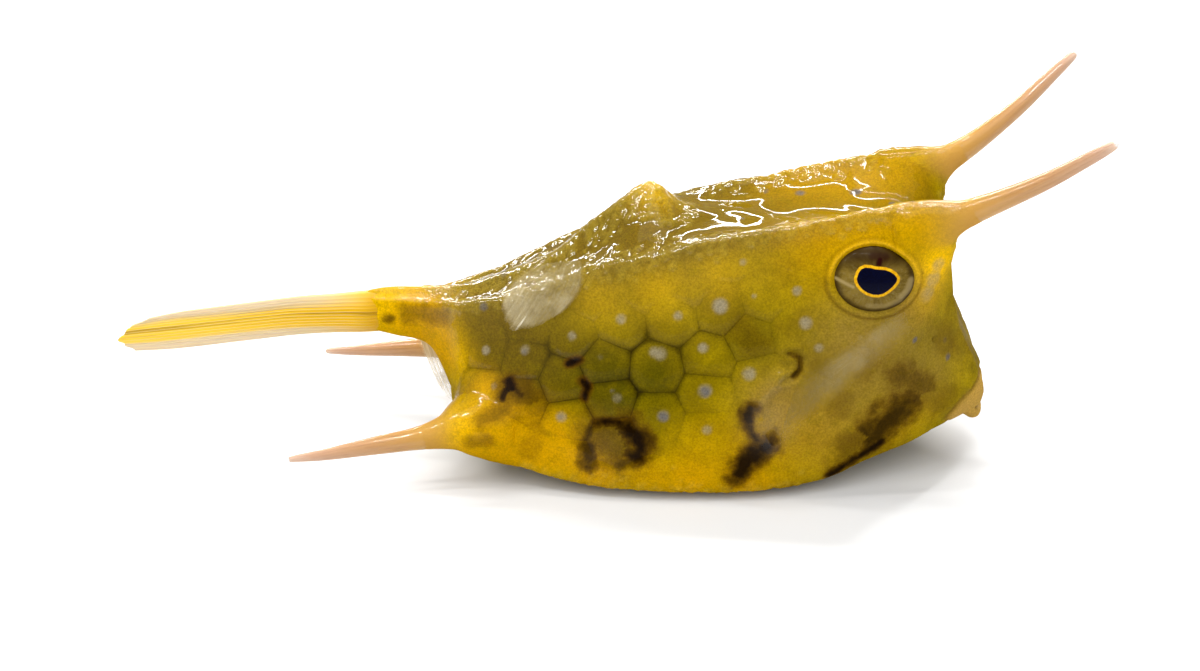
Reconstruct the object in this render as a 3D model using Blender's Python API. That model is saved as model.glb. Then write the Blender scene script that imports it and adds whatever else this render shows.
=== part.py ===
"""Juvenile longhorn cowfish, life size, lying on its belly with its fins folded.

X runs to the snout, Y to the fish's left side, Z up, in metres. The origin lies on the
floor under the middle of the whole length, from the tail fin's end to the horn tips.
"""

import math
import random

import bmesh
import bpy
import numpy as np
from mathutils import Matrix, Vector

MM = 0.001
GAP = 0.3 * MM

# The carapace's middle lies this far ahead of the middle of the whole length
CARAPACE_AHEAD = 12.7 * MM

# Sections of the carapace and tail stalk from the mouth backwards, in millimetres.
# Each has its own plane, which leans forward at the top by "lean".
# Columns: x at mid height, lean, top of the keel, half width and height of the upper ridge,
# half width of the flank, half width and height of the lower ridge, height of the belly.
SECTIONS = (
    (25.3, 0.00, 5.4, 0.0, 5.4, 0.0, 0.0, 5.4, 5.4),
    (25.5, 0.36, 7.1, 1.7, 6.8, 2.4, 1.9, 4.6, 4.2),
    (24.6, 0.42, 8.8, 2.5, 8.4, 3.9, 3.2, 4.5, 3.4),
    (22.9, 0.43, 11.2, 3.6, 11.2, 5.7, 5.2, 4.4, 2.5),
    (20.4, 0.40, 14.6, 4.3, 15.0, 7.6, 7.3, 3.6, 1.45),
    (17.7, 0.42, 19.0, 5.0, 20.8, 9.1, 9.1, 2.7, 0.65),
    (16.3, 0.42, 22.4, 6.2, 26.0, 9.9, 10.3, 1.95, 0.1),
    (14.0, 0.40, 24.4, 6.9, 28.1, 10.3, 11.1, 1.4, -0.2),
    (9.4, 0.31, 24.8, 6.9, 27.5, 10.6, 11.8, 1.15, -0.25),
    (3.3, 0.14, 24.5, 6.8, 25.7, 10.9, 12.3, 1.0, -0.25),
    (-3.2, 0.02, 25.0, 6.9, 24.0, 10.9, 12.4, 1.0, -0.25),
    (-6.6, 0.00, 27.6, 7.0, 22.9, 10.8, 12.3, 1.05, -0.25),
    (-11.2, 0.00, 24.2, 6.5, 21.5, 10.5, 11.9, 1.2, -0.2),
    (-16.0, 0.00, 20.4, 5.2, 19.2, 9.8, 11.0, 1.8, 0.2),
    (-20.8, 0.00, 18.0, 4.1, 17.4, 8.5, 9.6, 3.0, 1.5),
    (-24.6, 0.00, 16.8, 3.1, 16.2, 6.1, 7.2, 4.3, 3.2),
    (-26.4, 0.00, 16.6, 2.2, 15.9, 3.1, 3.4, 8.0, 7.2),
    (-28.4, 0.00, 16.6, 1.7, 15.8, 2.2, 1.7, 11.2, 10.4),
    (-33.6, 0.00, 16.6, 1.4, 15.9, 1.8, 1.2, 12.2, 11.6),
)
FLANK_LEVEL = 0.46  # the flank's widest line, as a share of the way from lower to upper ridge
TROUGH_DEPTH = 0.35  # the back sinks between keel and upper ridge
FLANK_SWELL = 0.25
BELLY_SWELL = 0.5
RIDGE_TIGHTNESS = 0.55  # slope kept at the ridges, which makes their corners crisp
FULL_HALF_WIDTH = 8.0  # narrower sections have less trough and swelling

# Where the carapace is divided
NECK_X = 8.6 * MM
STALK_X = -27.3 * MM
STALK_END_X = -33.3 * MM
LIP_PLANE_X, LIP_PLANE_Z = 24.28 * MM, 5.19 * MM
LIP_PLANE_NORMAL = Vector((0.93, 0.0, -0.37))

# Scutes: plates raised on the carapace, some of them in rows on the keel, ridges and belly line
SCUTES_ON_KEEL = 16
SCUTES_ON_BELLY_LINE = 12
SCUTES_ON_UPPER_RIDGE = 12
SCUTES_ON_LOWER_RIDGE = 14
SCUTES_ON_EACH_SIDE = 112
ROWS_START, ROWS_LENGTH = 0.04, 0.86  # where the rows of scutes lie along the body
SCUTE_HEIGHT = 0.34 * MM
SCUTE_BEVEL = 0.5 * MM
MOST_BEVEL = 0.45  # of the way from a corner to the scute's middle
SCUTE_SEED = 13
SETTLING_ROUNDS = 30
GRID_ALONG = 132
GRID_AROUND = 160
STALK_ROWS, STALK_COLUMNS = 10, 20

# Eyes
EYE_X, EYE_Z = 14.2 * MM, 21.7 * MM
EYE_WIDE, EYE_TALL, EYE_DEEP = 7.6 * MM, 6.5 * MM, 3.6 * MM
EYE_SUNK = 0.5 * MM
RIM_THICK = 0.5 * MM
RIM_SUNK = 0.2 * MM
RIM_STEPS, RIM_SIDES = 26, 6

# Brow horns: centre line (x, half spread, z) and radius, from inside the head to the tip
HORN_LINE = (
    (16.5, 6.6, 25.6, 2.0), (20.6, 6.7, 26.6, 1.6), (24.4, 7.5, 28.5, 1.08),
    (29.0, 9.4, 31.6, 0.78), (32.6, 11.1, 34.6, 0.58), (34.2, 11.8, 35.95, 0.42),
    (34.6, 12.0, 36.3, 0.18),
)
HORN_ROOT_SHARE = 0.3
# Belly spines that sweep back from the lower ridges
SPINE_LINE = (
    (-20.5, 7.8, 5.6, 2.75), (-24.3, 8.6, 5.8, 2.5), (-26.4, 9.1, 5.4, 1.65),
    (-29.0, 9.7, 5.05, 1.1), (-33.0, 10.35, 4.6, 0.86), (-37.5, 11.0, 4.0, 0.55),
    (-40.7, 11.4, 3.7, 0.3), (-41.2, 11.5, 3.65, 0.12),
)
SPINE_ROOT_SHARE = 0.4
ROD_STEPS = 16
ROD_BEVEL_RESOLUTION = 3  # ten sides

# Gill opening on each side, as (x, z) down the flank, and the nostril in front of the eye
GILL_LINE = ((6.2, 15.4), (6.6, 14.2), (6.4, 12.4), (5.2, 10.4))
GILL_WIDTH = 0.7 * MM
GILL_STEPS = 10
NOSTRIL_X, NOSTRIL_Z = 20.3 * MM, 14.6 * MM
NOSTRIL_WIDTH = 0.8 * MM
CUT_DEPTH = 0.1 * MM  # how far under the skin the gill cutter's middle runs
NOSTRIL_DEPTH = 0.8 * MM

# Lips: two soft rolls on the sloping front of the muzzle
MOUTH_HALF_WIDTH, MOUTH_HALF_HEIGHT = 1.8 * MM, 0.73 * MM
LIP_PARTING = 0.26 * MM
UPPER_LIP_RADIUS, LOWER_LIP_RADIUS = 0.65 * MM, 0.98 * MM
LIP_STEPS, LIP_SIDES = 14, 8
LIP_TURN_START, LIP_TURN = math.radians(8), math.radians(164)
LIP_CORNER_SHARE = 0.55  # of the lip's radius left at the corners of the mouth

# Fins
FIN_THICK = 0.5 * MM
RAY_HEIGHT = 0.14 * MM
FOLDED_FIN_LIFT = 0.05 * MM + GAP + FIN_THICK / 2 + RAY_HEIGHT
TAIL_RAYS, DORSAL_RAYS, ANAL_RAYS, PECTORAL_RAYS = 7, 8, 6, 7
RAY_FADE = 5  # rays die out over this part of one over the length, at the free edge

# The tail fin's outline along its length, as (share of the length, millimetres)
TAIL_FIN_LENGTH = 26.4 * MM
TAIL_FIN_LEVEL = ((0.0, 14.15), (0.3, 13.5), (0.68, 12.3), (1.0, 11.4))
TAIL_FIN_HEIGHT = ((0.0, 4.7), (0.12, 4.1), (0.5, 4.2), (0.85, 4.2), (1.0, 3.6))
TAIL_FIN_FLESH = ((0.0, 1.5), (0.1, 0.95), (0.35, 0.5), (1.0, 0.27))
TAIL_FIN_ROUNDING = 0.13
TAIL_FIN_SWAY = 0.3 * MM

# The dorsal fin lies over the right side: x of its front and rear, and distance down the skin
DORSAL_BASE_X, DORSAL_TIP_X = (-13.6, -20.3), (-12.2, -19.6)
DORSAL_BASE_DROP, DORSAL_TIP_DROP, DORSAL_TIP_BULGE = 1.2 * MM, 7.7 * MM, 1.9 * MM
DORSAL_RISE = 0.25 * MM

# The pectoral fins lie forward on the cheeks: (x, z) of base and tip
PECTORAL_BASE, PECTORAL_TIP = (4.9, 7.7), (17.4, 17.7)
PECTORAL_WIDTH = ((0.0, 2.9), (0.5, 4.4), (0.85, 4.4), (1.0, 3.2))
PECTORAL_ROUNDING = 0.12

# The anal fin hangs under the tail stalk: x of its front and rear
ANAL_BASE_X, ANAL_TIP_X = (-27.6, -30.0), (-25.6, -27.9)
ANAL_TIP_Z, ANAL_TIP_BULGE, ANAL_BEND = 3.9 * MM, 1.2 * MM, 0.2 * MM

KEEL, UPPER_RIDGE, LOWER_RIDGE = 0, 2, 6
MIDDLE_LINES = (0.0, 0.5)  # the keel and the belly line, as places around the body
SMALL_STEP = 1e-4


def clear_scene():
    for item in list(bpy.data.objects):
        bpy.data.objects.remove(item, do_unlink=True)


def cubic(share, width, start, end, start_slope, end_slope):
    """Cubic between two values with the given slopes."""
    return (
        (2 * share**3 - 3 * share**2 + 1) * start
        + (share**3 - 2 * share**2 + share) * width * start_slope
        + (3 * share**2 - 2 * share**3) * end
        + (share**3 - share**2) * width * end_slope
    )


def spline(knots, values, at):
    """Smooth curve through the values at the knots."""
    knots = np.asarray(knots, float)
    values = np.asarray(values, float)
    shape = (-1,) + (1,) * (values.ndim - 1)
    before = np.maximum(np.arange(len(knots)) - 1, 0)
    after = np.minimum(np.arange(len(knots)) + 1, len(knots) - 1)
    slopes = (values[after] - values[before]) / (knots[after] - knots[before]).reshape(shape)
    place = np.clip(np.searchsorted(knots, at, side="right") - 1, 0, len(knots) - 2)
    width = knots[place + 1] - knots[place]
    share = ((at - knots[place]) / width).reshape(shape)
    width = width.reshape(shape)
    return cubic(
        share, width, values[place], values[place + 1], slopes[place], slopes[place + 1]
    )


def read(table, at):
    """Value in millimetres from a table of (share, millimetres)."""
    shares, values = zip(*table)
    return np.interp(at, shares, values) * MM


def section_ring(section):
    """Sixteen points round one section, from the keel down the right side and back up."""
    x, lean, top, ridge_half, ridge_up, flank_half, edge_half, edge_up, belly_up = section
    flank_up = edge_up + FLANK_LEVEL * (ridge_up - edge_up)
    size = min(1.0, edge_half / FULL_HALF_WIDTH)
    keel = np.array((0.0, top))
    ridge = np.array((ridge_half, ridge_up))
    flank = np.array((flank_half, flank_up))
    edge = np.array((edge_half, edge_up))
    belly = np.array((0.0, belly_up))
    half = [
        keel,
        (keel + ridge) / 2 - np.array((0.0, TROUGH_DEPTH * size)),
        ridge,
        (ridge + flank) / 2 + np.array((FLANK_SWELL * size, 0.0)),
        flank,
        (flank + edge) / 2 + np.array((FLANK_SWELL * size, 0.0)),
        edge,
        (edge + belly) / 2 - np.array((0.0, BELLY_SWELL * size)),
        belly,
    ]
    right = [(x + lean * (up - flank_up), -out, up) for out, up in half]
    left = [(px, -py, pz) for px, py, pz in right[-2:0:-1]]
    return np.array(right + left) * MM + np.array((CARAPACE_AHEAD, 0.0, 0.0))


RINGS = np.array([section_ring(section) for section in SECTIONS])
RING_POINTS = RINGS.shape[1]
STEPS_ALONG = np.linalg.norm(np.diff(RINGS, axis=0), axis=2).mean(axis=1)
ALONG_KNOTS = np.concatenate(((0.0,), np.cumsum(STEPS_ALONG))) / STEPS_ALONG.sum()
FULL_RINGS = slice(3, 15)
STEPS_AROUND = np.linalg.norm(np.roll(RINGS, -1, axis=1) - RINGS, axis=2)[FULL_RINGS].mean(axis=0)
AROUND_KNOTS = np.concatenate(((0.0,), np.cumsum(STEPS_AROUND)[:-1])) / STEPS_AROUND.sum()
RIDGES = (UPPER_RIDGE, LOWER_RIDGE, RING_POINTS - LOWER_RIDGE, RING_POINTS - UPPER_RIDGE)
AROUND_EASE = np.array([RIDGE_TIGHTNESS if k in RIDGES else 1.0 for k in range(RING_POINTS)])


def skin(along, around):
    """Points on the body: along runs 0 to 1 from mouth to stalk, around 0 to 1 from the keel."""
    along = np.asarray(along, float).ravel()
    around = np.mod(np.asarray(around, float).ravel(), 1.0)
    rings = spline(ALONG_KNOTS, RINGS, along)
    spread = np.mod(np.roll(AROUND_KNOTS, -1) - np.roll(AROUND_KNOTS, 1), 1.0)
    slopes = np.roll(rings, -1, axis=1) - np.roll(rings, 1, axis=1)
    slopes = slopes * (AROUND_EASE / spread)[None, :, None]
    place = np.searchsorted(AROUND_KNOTS, around, side="right") - 1
    following = (place + 1) % RING_POINTS
    width = np.mod(AROUND_KNOTS[following] - AROUND_KNOTS[place], 1.0)[:, None]
    share = (around - AROUND_KNOTS[place])[:, None] / width
    row = np.arange(len(around))
    points = cubic(
        share, width, rings[row, place], rings[row, following],
        slopes[row, place], slopes[row, following],
    )
    points[:, 2] = np.maximum(points[:, 2], 0.0)
    return points


def skin_normal(along, around):
    """Outward directions on the body."""
    along = np.clip(np.asarray(along, float).ravel(), 2e-3, 1 - 2e-3)
    around = np.asarray(around, float).ravel()
    backward = skin(along + SMALL_STEP, around) - skin(along - SMALL_STEP, around)
    downward = skin(along, around + SMALL_STEP) - skin(along, around - SMALL_STEP)
    normal = np.cross(backward, downward)
    return normal / np.maximum(np.linalg.norm(normal, axis=1), 1e-12)[:, None]


SEARCH_ALONG, SEARCH_AROUND = np.meshgrid(
    np.linspace(0.02, 0.98, 160), np.linspace(0.0, AROUND_KNOTS[LOWER_RIDGE], 90), indexing="ij"
)
SEARCH_POINTS = skin(SEARCH_ALONG, SEARCH_AROUND)


def on_flank(x, z):
    """Find (along, around) on the right flank for a fish x and a height z."""
    target = np.array((x + CARAPACE_AHEAD, z))
    nearest = np.argmin(((SEARCH_POINTS[:, (0, 2)] - target) ** 2).sum(axis=1))
    guess = np.array((SEARCH_ALONG.ravel()[nearest], SEARCH_AROUND.ravel()[nearest]))
    for _ in range(5):
        here = skin(guess[:1], guess[1:])[0, (0, 2)]
        ahead = skin(guess[:1] + SMALL_STEP, guess[1:])[0, (0, 2)]
        below = skin(guess[:1], guess[1:] + SMALL_STEP)[0, (0, 2)]
        change = np.column_stack((ahead - here, below - here)) / SMALL_STEP
        guess = guess + np.linalg.lstsq(change, target - here, rcond=None)[0]
    return guess


def flank_place(x, z, side):
    """Point and outward direction on a flank; side is -1 for the right and 1 for the left."""
    along, around = on_flank(x, z)
    point = skin([along], [around])[0]
    normal = skin_normal([along], [around])[0]
    mirror = np.array((1.0, -side, 1.0))
    return Vector(point * mirror), Vector(normal * mirror)


def along_at(x, around):
    """How far along the body one of its lines reaches a fish x behind the head."""
    track = np.linspace(0.4, 1.0, 400)
    line = skin(track, np.full(len(track), around))
    return np.interp(-(x + CARAPACE_AHEAD), -line[:, 0], track)


def new_material(name, colour, roughness):
    material = bpy.data.materials.new(name)
    material.use_nodes = True
    shader = material.node_tree.nodes["Principled BSDF"]
    shader.inputs["Base Color"].default_value = (*colour, 1.0)
    shader.inputs["Roughness"].default_value = roughness
    shader.inputs["Metallic"].default_value = 0.0
    material.diffuse_color = (*colour, 1.0)
    return material


def add_object(name, bm, material, collection):
    """Turn a bmesh into a named object with smooth round faces."""
    bmesh.ops.triangulate(bm, faces=bm.faces)
    bmesh.ops.recalc_face_normals(bm, faces=bm.faces)
    mesh = bpy.data.meshes.new(name)
    bm.to_mesh(mesh)
    bm.free()
    mesh.materials.append(material)
    mesh.shade_smooth()
    mesh.set_sharp_from_angle(angle=math.radians(35))
    made = bpy.data.objects.new(name, mesh)
    collection.objects.link(made)
    return made


def close_holes(bm):
    bmesh.ops.holes_fill(bm, edges=[edge for edge in bm.edges if edge.is_boundary], sides=0)


def keep_largest_body(item):
    """Drop every loose piece but the largest closed surface."""
    bm = bmesh.new()
    bm.from_mesh(item.data)
    unseen = set(bm.verts)
    bodies = []
    while unseen:
        body = set()
        front = [unseen.pop()]
        while front:
            vert = front.pop()
            body.add(vert)
            for edge in vert.link_edges:
                other = edge.other_vert(vert)
                if other in unseen:
                    unseen.discard(other)
                    front.append(other)
        bodies.append(body)
    largest = max(bodies, key=len)
    spare = [vert for vert in bm.verts if vert not in largest]
    bmesh.ops.delete(bm, geom=spare, context="VERTS")
    bm.to_mesh(item.data)
    bm.free()


def combine(item, others, operation):
    """Apply one Boolean of the others on an item, and remove them."""
    group = bpy.data.collections.new(item.name + "_" + operation.lower())
    bpy.context.scene.collection.children.link(group)
    for other in others:
        for owner in list(other.users_collection):
            owner.objects.unlink(other)
        group.objects.link(other)
    modifier = item.modifiers.new(operation.title(), "BOOLEAN")
    modifier.operation = operation
    modifier.operand_type = "COLLECTION"
    modifier.collection = group
    modifier.solver = "EXACT"
    depsgraph = bpy.context.evaluated_depsgraph_get()
    mesh = bpy.data.meshes.new_from_object(item.evaluated_get(depsgraph))
    item.modifiers.clear()
    item.data = mesh
    for other in others:
        bpy.data.objects.remove(other, do_unlink=True)
    bpy.data.collections.remove(group)
    keep_largest_body(item)


def slice_off(bm, point, normal):
    """Cut a closed mesh by a plane, drop the side the normal points to and close the cut."""
    geometry = bm.verts[:] + bm.edges[:] + bm.faces[:]
    bmesh.ops.bisect_plane(
        bm, geom=geometry, dist=1e-7, plane_co=point, plane_no=normal, clear_outer=True
    )
    close_holes(bm)


def cell_middles():
    """Along and around of the middles of an even grid over the right half of the skin."""
    along = (np.arange(GRID_ALONG) + 0.5) / GRID_ALONG
    around = (np.arange(GRID_AROUND // 2) + 0.5) / GRID_AROUND
    return (grid.ravel() for grid in np.meshgrid(along, around, indexing="ij"))


def nearest_centre(points, centres):
    return np.argmin(((points[:, None] - centres[None]) ** 2).sum(axis=2), axis=1)


def settle_scutes():
    """Scute centres spread evenly over the right half, those of the rows kept on their lines."""
    cell_along, cell_around = cell_middles()
    points = skin(cell_along, cell_around)
    down_the_body = skin(cell_along + 0.5 / GRID_ALONG, cell_around) - points
    round_the_body = skin(cell_along, cell_around + 0.5 / GRID_AROUND) - points
    area = np.linalg.norm(np.cross(down_the_body, round_the_body), axis=1)
    rows = (
        (MIDDLE_LINES[0], SCUTES_ON_KEEL),
        (MIDDLE_LINES[1], SCUTES_ON_BELLY_LINE),
        (AROUND_KNOTS[UPPER_RIDGE], SCUTES_ON_UPPER_RIDGE),
        (AROUND_KNOTS[LOWER_RIDGE], SCUTES_ON_LOWER_RIDGE),
    )
    centres = [
        (ROWS_START + ROWS_LENGTH * (k + 0.5) / count, line) for line, count in rows for k in range(count)
    ]
    in_rows = len(centres)
    draw = random.Random(SCUTE_SEED)
    chances = np.cumsum(area) / area.sum()
    for k in range(SCUTES_ON_EACH_SIDE):
        cell = np.searchsorted(chances, (k + draw.random()) / SCUTES_ON_EACH_SIDE)
        centres.append((cell_along[cell], cell_around[cell]))
    centre_along, centre_around = np.array(centres).T
    for _ in range(SETTLING_ROUNDS):
        owner = nearest_centre(points, skin(centre_along, centre_around))
        for k in np.unique(owner):
            mine = owner == k
            if k < in_rows:
                centre_along[k] = np.average(cell_along[mine], weights=area[mine])
                continue
            middle = np.average(points[mine], axis=0, weights=area[mine])
            best = np.argmin(((points - middle) ** 2).sum(axis=1))
            centre_along[k] = cell_along[best]
            centre_around[k] = cell_around[best]
    return centre_along, centre_around


def seam_net(centre_along, centre_around):
    """The closed skin with one face for each scute, parted along straight seams."""
    cell_along, cell_around = cell_middles()
    owner = nearest_centre(skin(cell_along, cell_around), skin(centre_along, centre_around))
    owner = owner.reshape(GRID_ALONG, GRID_AROUND // 2)
    bm = bmesh.new()
    bmesh.ops.create_grid(bm, x_segments=GRID_ALONG, y_segments=GRID_AROUND, size=0.5)
    scute = bm.faces.layers.int.new("scute")
    at_along = bm.verts.layers.float.new("along")
    at_around = bm.verts.layers.float.new("around")
    for face in bm.faces:
        middle = face.calc_center_median()
        row = int((middle.x + 0.5) * GRID_ALONG)
        column = int((middle.y + 0.5) * GRID_AROUND)
        on_left = column >= GRID_AROUND // 2
        number = owner[row, GRID_AROUND - 1 - column if on_left else column]
        on_middle = centre_around[number] in MIDDLE_LINES
        face[scute] = -(number + 1) if on_left and not on_middle else number + 1
    for vert in bm.verts:
        vert[at_along] = vert.co.x + 0.5
        vert[at_around] = vert.co.y + 0.5
    places = skin([vert[at_along] for vert in bm.verts], [vert[at_around] for vert in bm.verts])
    for vert, place in zip(bm.verts, places):
        vert.co = place
    bmesh.ops.remove_doubles(bm, verts=bm.verts, dist=1e-7)
    close_holes(bm)
    inside = [
        edge for edge in bm.edges
        if len(edge.link_faces) == 2 and edge.link_faces[0][scute] == edge.link_faces[1][scute]
    ]
    bmesh.ops.dissolve_edges(bm, edges=inside, use_verts=True)
    bmesh.ops.dissolve_verts(bm, verts=[vert for vert in bm.verts if len(vert.link_edges) == 2])
    split_seams(bm, at_along, at_around)
    return bm, scute, at_along, at_around


def split_seams(bm, at_along, at_around):
    """Add a corner wherever a seam between scutes crosses the keel or a ridge."""
    for line in (MIDDLE_LINES[0], *AROUND_KNOTS[list(RIDGES)]):
        for edge in list(bm.edges):
            first, second = edge.verts
            before = math.remainder(first[at_around] - line, 1.0)
            after = math.remainder(second[at_around] - line, 1.0)
            crosses = before * after < 0 and abs(before - after) < 0.3
            if not crosses or min(abs(before), abs(after)) < 0.004:
                continue
            share = before / (before - after)
            along = first[at_along] + (second[at_along] - first[at_along]) * share
            _, corner = bmesh.utils.edge_split(edge, first, share)
            corner[at_along] = along
            corner[at_around] = line


def plated_body():
    """The whole carapace as one closed mesh covered in raised scutes."""
    centre_along, centre_around = settle_scutes()
    bm, scute, at_along, at_around = seam_net(centre_along, centre_around)
    tops = [face for face in bm.faces if face[scute] != 0]
    corners = {face: [(v[at_along], v[at_around]) for v in face.verts] for face in tops}
    seams = [(vert, vert[at_along], vert[at_around]) for vert in bm.verts]

    def centre_of(face):
        number = abs(face[scute]) - 1
        around = centre_around[number]
        return centre_along[number], around if face[scute] > 0 else 1.0 - around

    bmesh.ops.inset_individual(bm, faces=tops, thickness=0.1 * MM, depth=0.0)
    raised = []
    for face in tops:
        middle_along, middle_around = centre_of(face)
        middle = skin([middle_along], [middle_around])[0]
        for vert, (along, around) in zip(face.verts, corners[face]):
            reach = np.linalg.norm(skin([along], [around])[0] - middle)
            share = min(MOST_BEVEL, SCUTE_BEVEL / max(reach, 1e-6))
            turn = math.remainder(middle_around - around, 1.0)
            raised.append((vert, along + (middle_along - along) * share, around + turn * share))
    for vert in bmesh.ops.poke(bm, faces=tops)["verts"]:
        raised.append((vert, *centre_of(vert.link_faces[0])))
    for group, depth in ((raised, 0.0), (seams, SCUTE_HEIGHT)):
        verts, along, around = zip(*group)
        for vert, place in zip(verts, skin(along, around) - skin_normal(along, around) * depth):
            vert.co = place
    bmesh.ops.triangulate(bm, faces=bm.faces)
    bmesh.ops.recalc_face_normals(bm, faces=bm.faces)
    return bm


def stalk_body():
    """The rear of the body without scutes, from which the bare tail stalk is cut."""
    bm = bmesh.new()
    bmesh.ops.create_grid(bm, x_segments=STALK_ROWS, y_segments=STALK_COLUMNS, size=0.5)
    start = ALONG_KNOTS[-4]
    along = [start + (1.0 - start) * (vert.co.x + 0.5) for vert in bm.verts]
    around = [vert.co.y + 0.5 for vert in bm.verts]
    for vert, place in zip(bm.verts, skin(along, around)):
        vert.co = place
    bmesh.ops.remove_doubles(bm, verts=bm.verts, dist=1e-7)
    close_holes(bm)
    bmesh.ops.triangulate(bm, faces=bm.faces)
    bmesh.ops.recalc_face_normals(bm, faces=bm.faces)
    return bm


def tube(name, line, side, steps, material, collection):
    """A tapered round rod through the line's points, closed at both ends."""
    knots = np.arange(len(line), dtype=float)
    points = spline(knots, line, np.linspace(0.0, knots[-1], steps))
    curve = bpy.data.curves.new(name, "CURVE")
    curve.dimensions = "3D"
    curve.bevel_depth = MM
    curve.bevel_resolution = ROD_BEVEL_RESOLUTION
    curve.use_fill_caps = True
    rod = curve.splines.new("POLY")
    rod.points.add(steps - 1)
    path = []
    for point, (x, out, z, radius) in zip(rod.points, points):
        place = Vector((x * MM + CARAPACE_AHEAD, side * out * MM, z * MM))
        path.append(place)
        point.co = (*place, 1.0)
        point.radius = radius
    holder = bpy.data.objects.new(name, curve)
    bpy.context.scene.collection.objects.link(holder)
    depsgraph = bpy.context.evaluated_depsgraph_get()
    mesh = bpy.data.meshes.new_from_object(holder.evaluated_get(depsgraph))
    bm = bmesh.new()
    bm.from_mesh(mesh)
    bmesh.ops.remove_doubles(bm, verts=bm.verts, dist=1e-6)
    bpy.data.objects.remove(holder, do_unlink=True)
    bpy.data.curves.remove(curve)
    bpy.data.meshes.remove(mesh)
    return add_object(name, bm, material, collection), path


def grow_rod(name, line, side, root_share, material, collection):
    """Add the free length of a horn or spine, and return the root that fuses with the body."""
    root, path = tube(name + "_root", line, side, ROD_STEPS, material, collection)
    rod, _ = tube(name, line, side, ROD_STEPS, material, collection)
    at = root_share * (len(path) - 1)
    low, high = path[int(at)], path[int(at) + 1]
    point = low.lerp(high, at - int(at))
    direction = (high - low).normalized()
    for item, facing_out in ((root, 1.0), (rod, -1.0)):
        bm = bmesh.new()
        bm.from_mesh(item.data)
        slice_off(bm, point - direction * facing_out * GAP / 2, direction * facing_out)
        bmesh.ops.triangulate(bm, faces=bm.faces)
        bmesh.ops.recalc_face_normals(bm, faces=bm.faces)
        bm.to_mesh(item.data)
        bm.free()
    return root


def facing(normal):
    """Rotation whose Z runs along the normal and whose X stays level and points forward."""
    across = Vector((0.0, 0.0, 1.0)).cross(normal).normalized()
    if across.x < 0:
        across = -across
    return Matrix((across, normal.cross(across), normal)).transposed().to_4x4()


def eye_shape(name, side, grow, material, collection):
    """A flattened ball set in the head's side, facing along the skin's normal."""
    point, normal = flank_place(EYE_X, EYE_Z, side)
    bm = bmesh.new()
    bmesh.ops.create_uvsphere(bm, u_segments=24, v_segments=12, radius=1.0)
    radii = (EYE_WIDE / 2 + grow, EYE_TALL / 2 + grow, EYE_DEEP / 2 + grow, 1.0)
    place = Matrix.Translation(point - normal * EYE_SUNK)
    bm.transform(place @ facing(normal) @ Matrix.Diagonal(radii))
    return add_object(name, bm, material, collection)


def eye_rim(name, side, material, collection):
    """The raised ring of skin round one eye."""
    point, normal = flank_place(EYE_X, EYE_Z, side)
    radius = EYE_TALL / 2 + GAP
    bm = bmesh.new()
    ring = bmesh.ops.create_circle(bm, segments=RIM_SIDES, radius=RIM_THICK / 2)["verts"]
    bmesh.ops.rotate(bm, verts=ring, matrix=Matrix.Rotation(math.pi / 2, 3, "X"))
    bmesh.ops.translate(bm, verts=ring, vec=(radius, 0.0, 0.0))
    bmesh.ops.spin(
        bm, geom=bm.verts[:] + bm.edges[:], cent=(0, 0, 0), axis=(0, 0, 1),
        angle=2 * math.pi, steps=RIM_STEPS, use_merge=True,
    )
    bmesh.ops.remove_doubles(bm, verts=bm.verts, dist=1e-6)
    widen = (EYE_WIDE - EYE_TALL) / 2
    for vert in bm.verts:
        vert.co.x += widen * vert.co.x / math.hypot(vert.co.x, vert.co.y)
    bm.transform(Matrix.Translation(point - normal * RIM_SUNK) @ facing(normal))
    return add_object(name, bm, material, collection)


def membrane(name, place, half_thick, columns, rows, material, collection):
    """A fin from a grid whose two faces are split alike and stand apart along its normal."""
    bm = bmesh.new()
    bmesh.ops.create_grid(bm, x_segments=columns, y_segments=rows, size=0.5)
    bmesh.ops.triangulate(bm, faces=bm.faces)
    across = bm.verts.layers.float.new("across")
    outward = bm.verts.layers.float.new("outward")
    face_side = bm.verts.layers.int.new("side")
    for vert in bm.verts:
        vert[across] = vert.co.x + 0.5
        vert[outward] = vert.co.y + 0.5
        vert[face_side] = -1
    copied = bmesh.ops.extrude_face_region(bm, geom=bm.faces[:], use_keep_orig=True)
    for item in copied["geom"]:
        if isinstance(item, bmesh.types.BMVert):
            item[face_side] = 1
    for vert in bm.verts:
        point, normal = place(vert[across], vert[outward])
        vert.co = point + normal * half_thick(vert[across], vert[outward]) * vert[face_side]
    bmesh.ops.recalc_face_normals(bm, faces=bm.faces)
    return add_object(name, bm, material, collection)


def ray_height(across, outward, count):
    """Height of the fin rays, which run outward and die out at the free edge."""
    on_ray = 0.5 + 0.5 * math.cos(2 * math.pi * count * across)
    return RAY_HEIGHT * on_ray * min(1.0, RAY_FADE * (1 - outward))


def film_thickness(count):
    """Half thickness of a thin fin with the given number of rays."""
    def half_thick(across, outward):
        return FIN_THICK / 2 + ray_height(across, outward, count)

    return half_thick


def between(ends, share):
    return ends[0] + (ends[1] - ends[0]) * share


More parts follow.
